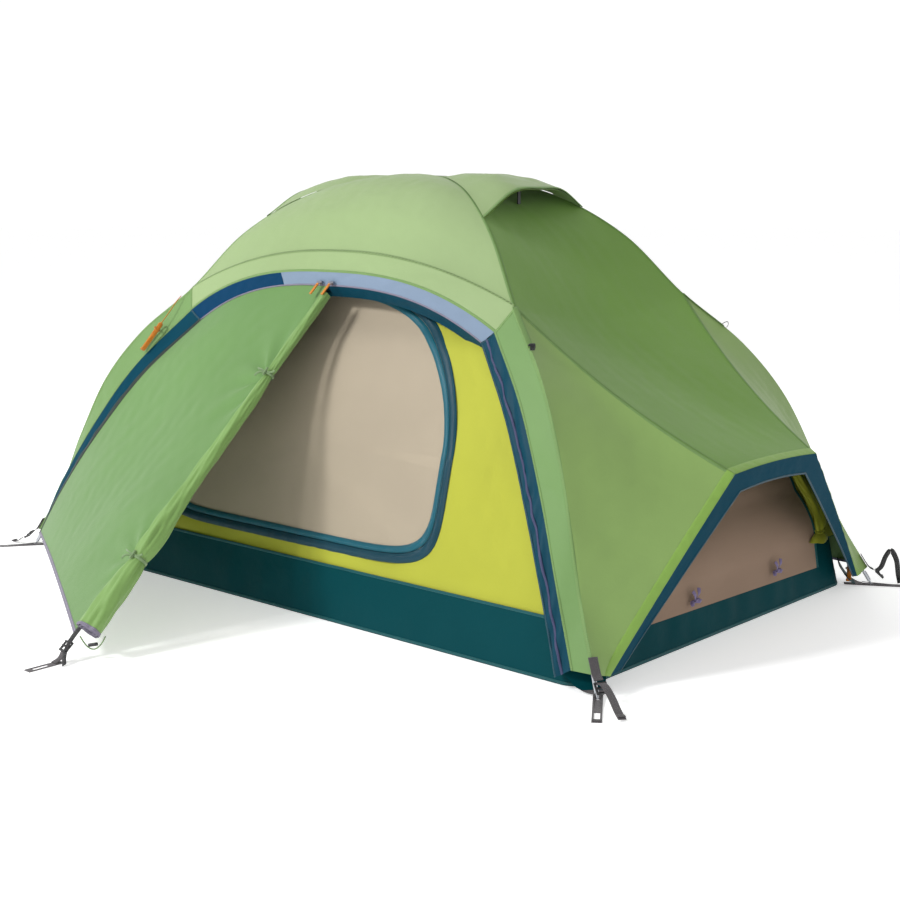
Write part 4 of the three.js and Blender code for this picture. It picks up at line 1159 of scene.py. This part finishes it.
def corners():
    for depth, sy in DEPTHS.items():
        for side, sx in ENDS.items():
            name = f"{depth}_{side}"
            out, across = corner_axes(sx, sy)
            at = lambda r, s, z, out=out, across=across: out * r + across * s + vec(0, 0, z)
            tip = ridge(sx, sy)
            up_line = [tip(t) + out * 0.004 for t in (0.030, 0.012)]
            up_line += [at(1.3555, 0, 0.056), at(1.368, 0, 0.049)]
            web = WEBBING_BLACK if name == "back_right" else WEBBING
            strap(f"fly_webbing_{name}", up_line, 0.024, 0.0016, web, across)
            body = f"corner_buckle_{name}"
            tail = [at(*p) for p in TAILS[name]]
            face = across * 0.62 + out * 0.78 if name == "back_right" else across
            strap(f"strap_tail_{name}", tail, 0.020, 0.0015, web, face, body=body)
            end = np.array(tail[-1])
            back = unit(np.array(tail[-2]) - end)
            fold = [end + back * 0.014 + vec(0, 0, 0.003), end + back * 0.004 + vec(0, 0, 0.0032)]
            strap(f"strap_fold_{name}", fold, 0.020, 0.0016, web, across, body=body, count=6)
            anchor_patch(name, sx, depth, out, across)
            down = out * math.cos(BUCKLE_TILT) - vec(0, 0, math.sin(BUCKLE_TILT))
            raised = unit(np.cross(across, down))
            raised *= 0.0042 if raised[2] > 0 else -0.0042
            buckle_bars(name, at(BUCKLE_R, 0, BUCKLE_Z), down, raised, across, body)


def anchor_patch(name, sx, depth, out, across):
    """A three-cornered patch that joins the tub's corner to the webbing on the ground."""
    turn = -sx * STRAP_TURN[depth]
    direction = out * math.cos(turn) + np.cross(vec(0, 0, 1), out) * math.sin(turn)
    side = np.cross(vec(0, 0, 1), direction)
    start = out * 1.262 + vec(0, 0, 0.070)
    end = out * GROMMET - direction * 0.026 + vec(0, 0, 0.0045)
    rows = []
    for t in np.linspace(0, 1, 24):
        centre = start + (end - start) * t + vec(0, 0, -0.020 * math.sin(math.pi * t))
        width = 0.050 * (1 - t) + 0.014
        lateral = across * (1 - t) * (1 if side @ across > 0 else -1) + side * t
        rows.append([centre + unit(lateral) * width * s for s in np.linspace(-1, 1, 12)])
    grid = np.array(rows)
    grid[:, :, 2] += 0.0006 * waves(grid, 0.03, 151)
    place(grid_mesh(f"anchor_patch_{name}", grid[:17], TUB))
    place(grid_mesh(f"anchor_web_{name}", grid[16:], WEBBING))
    bottom = np.array([end, out * GROMMET + direction * 0.070, out * GROMMET + direction * 0.140])
    line = bottom + vec(0, 0, 0.0002)
    for s, label in ((-1, "a"), (1, "b")):
        edge = [p + side * s * 0.0095 + vec(0, 0, 0.0014) for p in line]
        strap(f"anchor_edge_{name}_{label}", edge, 0.005, 0.0012, WEBBING, side, count=20)
    folded = ((0.138, 0.0034), (0.146, 0.0036), (0.150, 0.0034))
    fold = [out * GROMMET + direction * r + vec(0, 0, z) for r, z in folded]
    strap(f"anchor_fold_{name}", fold, 0.024, 0.0018, WEBBING, side, count=8)


def buckle_bars(name, start, down, raised, across, body):
    """Rounded bars over the ladder-lock's frame."""
    for k, along in enumerate((0.002, 0.0145, 0.028)):
        centre = start + down * along + raised
        bar = [centre - across * 0.0145, centre, centre + across * 0.0145]
        tube(f"buckle_bar_{name}_{k}", bar, 0.0024, BLACK, body=body, count=8)


def vestibule_anchor():
    side = vec(1, 0, 0)
    line = [VESTIBULE_TIP + vec(0.002, 0.030, 0.030), VESTIBULE_TIP + vec(0, 0, 0.002)]
    line += [vec(0, -1.338, 0.052), vec(0, -1.345, 0.046)]
    strap("fly_webbing_vestibule", line, 0.018, 0.0016, WEBBING_BLACK, side)
    tail = [
        vec(0, -1.344, 0.046), vec(0.010, -1.362, 0.030), vec(0.024, -1.376, 0.014),
        vec(0.036, -1.384, 0.004),
    ]
    body = "vestibule_buckle"
    strap("strap_tail_vestibule", tail, 0.014, 0.0014, WEBBING_BLACK, side, body=body)
    low = [vec(0, -1.362, 0.026), vec(0, -1.372, 0.012), vec(0, -1.392, 0.0045)]
    strap("anchor_web_vestibule", low, 0.020, 0.0016, WEBBING, side)
    foot = roll_centre(0.03)
    loop = [
        foot + vec(s, s * 0.8, 0) * 0.75 - vec(0, 0, 0.024 + 0.034 * (1 - (s / 0.034) ** 2))
        for s in np.linspace(-0.034, 0.034, 13)
    ]
    tube("tip_cord_loop", loop, 0.0018, TIE, count=40)
    low_bar = [loop[6] + vec(-0.009, -0.007, 0.010), loop[6] + vec(0.009, 0.007, 0.014)]
    tube("tip_toggle", low_bar, 0.0045, BLACK, count=6)
    down = -vec(0, math.cos(BUCKLE_TILT), math.sin(BUCKLE_TILT))
    buckle_bars("vestibule", vec(0, -1.340, 0.046), down, vec(0, -0.0027, 0.0032), side, body)


def guy_points():
    """A webbing loop sewn on three of the ridges, where a guyline can be tied."""
    for sx, sy in ((1, -1), (1, 1), (-1, 1)):
        line = ridge(sx, sy)
        root, along = line(GUY_POINT), unit(line(GUY_POINT + 0.01) - line(GUY_POINT - 0.01))
        out, across = corner_axes(sx, sy)
        away = unit(np.cross(across, along))
        away = away if away @ out > 0 else -away
        loop = [
            root + away * lift + along * shift
            for lift, shift in ((0.002, 0.008), (0.010, 0.006), (0.017, 0), (0.012, -0.007), (0.002, -0.008))
        ]
        name = f"{'right' if sx > 0 else 'left'}_{'front' if sy < 0 else 'back'}"
        strap(f"guy_loop_{name}", loop, 0.014, 0.0014, WEBBING_BLACK, across, count=16)
        tape = [line(t) + away * 0.0016 for t in np.linspace(GUY_POINT, KNEE, 8)]
        strap(f"guy_tape_{name}", tape, 0.016, 0.0012, SEAM, across, count=20)


# ---- Guylines --------------------------------------------------------------------------------------


def cord_curve(name, points, material):
    """A cord as one open spline of its real diameter."""
    curve = bpy.data.curves.new(name, "CURVE")
    curve.dimensions = "3D"
    curve.bevel_depth = CORD_RADIUS
    curve.bevel_resolution = 2
    spline = curve.splines.new("POLY")
    spline.points.add(len(points) - 1)
    weighted = np.concatenate([points, np.ones((len(points), 1))], 1)
    spline.points.foreach_set("co", weighted.astype(np.float32).ravel())
    spline.use_smooth = True
    curve.materials.append(material)
    obj = bpy.data.objects.new(name, curve)
    bpy.context.scene.collection.objects.link(obj)
    return obj


def winding(centre, along, wide, deep, long, width, pitch, layers, rings):
    """Turns of a hank: long loops laid beside each other in layers, the next ring inside the last."""
    points = []
    half = long / 2 - width / 2
    per_ring = int((layers - 0.5) * PER_TURN)
    for k in range(FIRST_RUN, per_ring * len(rings)):
        ring, step = divmod(k, per_ring)
        level = (2 * step / (per_ring - 1) - 1) * (1 if ring % 2 == 0 else -1)
        following = rings[min(ring + 1, len(rings) - 1)]
        inward = min(1, max(0, 1 - (per_ring - step) / 12))
        radius = rings[ring] + (following - rings[ring]) * inward
        a = 2 * math.pi * k / PER_TURN
        s, c = math.sin(a), math.cos(a)
        end = half if c > 0 else -half
        points.append(
            centre
            + along * (end * min(1, abs(c) * 3) + radius * c)
            + wide * (radius * s)
            + deep * (level * pitch * (layers - 1) / 2)
        )
    return np.array(points)


def guylines():
    along = unit(vec(-0.066, -0.048, -0.108))
    wide = vec(-0.8, 0.5, 0.1)
    deep = unit(np.cross(along, wide))
    wide = np.cross(deep, along)
    centre = np.array(FRONT_LEAD[-1]) + along * (0.112 / 2 + 0.0006)
    turns = winding(centre, along, wide, deep, 0.112, 0.026, 0.0030, 5, (0.0112, 0.0080))
    make_guyline("front", FRONT_LEAD, turns, along, wide, centre, 0.030)

    along = vec(0, 0, -1)
    wide = vec(-DIAGONAL[1], DIAGONAL[0], 0)
    deep = unit(np.cross(along, wide))
    centre = np.array(BACK_LEAD[-1]) + along * (0.058 / 2 + 0.0006)
    turns = winding(centre, along, wide, deep, 0.058, 0.030, 0.0032, 5, (0.0132, 0.0100))
    make_guyline("back", BACK_LEAD, turns, along, wide, centre, 0.012)


def make_guyline(depth, lead, turns, along, wide, centre, tie_at):
    """One cord from its exit into the hank, with the knot at its end and the tie round the hank."""
    name = f"guyline_{depth}"
    nodes = [f"guyline_lead_{depth}", f"guyline_hank_{depth}"]
    top = np.array(lead[-1])
    joint = top + (turns[0] - top) * 0.5 - along * 0.004
    points = np.concatenate([smooth([*lead, joint, turns[0]], 48), turns[1:]])
    obj = place(cord_curve(name, points, ORANGE), nodes=nodes)
    end = points[-1]
    knot = [end + along * 0.002 * math.cos(a) + wide * 0.002 * math.sin(a) for a in np.linspace(0, 5, 9)]
    stopper = tube(f"{name}_knot", knot, 0.0022, ORANGE, count=16)
    deep = unit(np.cross(along, wide))
    ring = [
        centre - along * tie_at + wide * 0.0150 * math.cos(a) + deep * 0.0098 * math.sin(a)
        for a in np.linspace(0, 2 * math.pi, 26)
    ]
    tube(f"{name}_tie", ring, 0.0016, ORANGE, count=50)


# ---- CAD nodes that stay ---------------------------------------------------------------------------


def finish_cad_nodes():
    finishes = [
        ("pole_", ALLOY), ("corner_strap", WEBBING_CAD), ("vestibule_strap", WEBBING_CAD),
        ("corner_buckle", BLACK), ("vestibule_buckle", BLACK), ("vent_prop", BLACK), ("inner_hook", BLACK),
        ("crossing_ring", BLACK), ("zip_slider", ZIP_METAL), ("zip_pull", ORANGE),
    ]
    for node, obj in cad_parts.items():
        for prefix, material in finishes:
            if node.startswith(prefix):
                obj.data.materials.clear()
                obj.data.materials.append(material)
                if prefix != "pole_":
                    bevel = obj.modifiers.new("edges", "BEVEL")
                    bevel.width, bevel.segments, bevel.limit_method = 0.0005, 2, "ANGLE"
                break


# ---- Stage -----------------------------------------------------------------------------------------


def stage():
    mesh = bpy.data.meshes.new("ground")
    size = 60.0
    corners_xy = [(-size, -size), (size, -size), (size, size), (-size, size)]
    mesh.from_pydata([(x, y, -0.0006) for x, y in corners_xy], [], [(0, 1, 2, 3)])
    material = bpy.data.materials.new("ground_paper")
    material.use_nodes = True
    shader = material.node_tree.nodes["Principled BSDF"]
    shader.inputs["Base Color"].default_value = (0.95, 0.95, 0.95, 1)
    shader.inputs["Emission Color"].default_value = (1, 1, 1, 1)
    shader.inputs["Emission Strength"].default_value = 0.44
    shader.inputs["Roughness"].default_value = 0.9
    mesh.materials.append(material)
    ground = bpy.data.objects.new("ground", mesh)
    bpy.context.scene.collection.objects.link(ground)

    world = bpy.data.worlds.new("studio")
    world.use_nodes = True
    tree = world.node_tree
    ramp = tree.nodes.new("ShaderNodeValToRGB")
    ramp.color_ramp.elements[0].position, ramp.color_ramp.elements[0].color = 0.34, (1.05, 1.05, 1.05, 1)
    ramp.color_ramp.elements[1].position, ramp.color_ramp.elements[1].color = 0.55, (0.45, 0.45, 0.45, 1)
    split = tree.nodes.new("ShaderNodeSeparateXYZ")
    tree.links.new(tree.nodes.new("ShaderNodeTexCoord").outputs["Generated"], split.inputs[0])
    tree.links.new(split.outputs[2], ramp.inputs[0])
    tree.links.new(ramp.outputs[0], tree.nodes["Background"].inputs["Color"])
    tree.nodes["Background"].inputs["Strength"].default_value = 1.0
    bpy.context.scene.world = world

    def area(name, at, target, size, power):
        light = bpy.data.lights.new(name, "AREA")
        light.shape, light.size, light.energy = "DISK", size, power
        obj = bpy.data.objects.new(name, light)
        obj.location = at
        obj.rotation_euler = (Vector(target) - Vector(at)).to_track_quat("-Z", "Y").to_euler()
        bpy.context.scene.collection.objects.link(obj)

    area("key", KEY_LIGHT_AT, (0, -0.3, 0.4), 1.4, 300)
    area("top", TOP_LIGHT_AT, (0, 0, 0.5), 3.0, 60)


def camera():
    azimuth, elevation = math.radians(CAMERA_AZIMUTH), math.radians(CAMERA_ELEVATION)
    back = Vector((
        math.sin(azimuth) * math.cos(elevation), -math.cos(azimuth) * math.cos(elevation), math.sin(elevation)
    ))
    lens = bpy.data.cameras.new("camera")
    lens.sensor_width, lens.lens = 36, CAMERA_LENS
    obj = bpy.data.objects.new("camera", lens)
    obj.location = CAMERA_AT
    obj.rotation_euler = (-back).to_track_quat("-Z", "Y").to_euler()
    bpy.context.scene.collection.objects.link(obj)
    bpy.context.scene.camera = obj


fly_front()
entrance_band()
fly_ends()
fly_back()
crown_patch()
vent_hoods()
vestibule()
front_wall()
inner_door()
inner_walls()
groundsheet()
corners()
vestibule_anchor()
guy_points()
guylines()
finish_cad_nodes()
stage()
camera()
bpy.context.scene.view_settings.view_transform = "Standard"
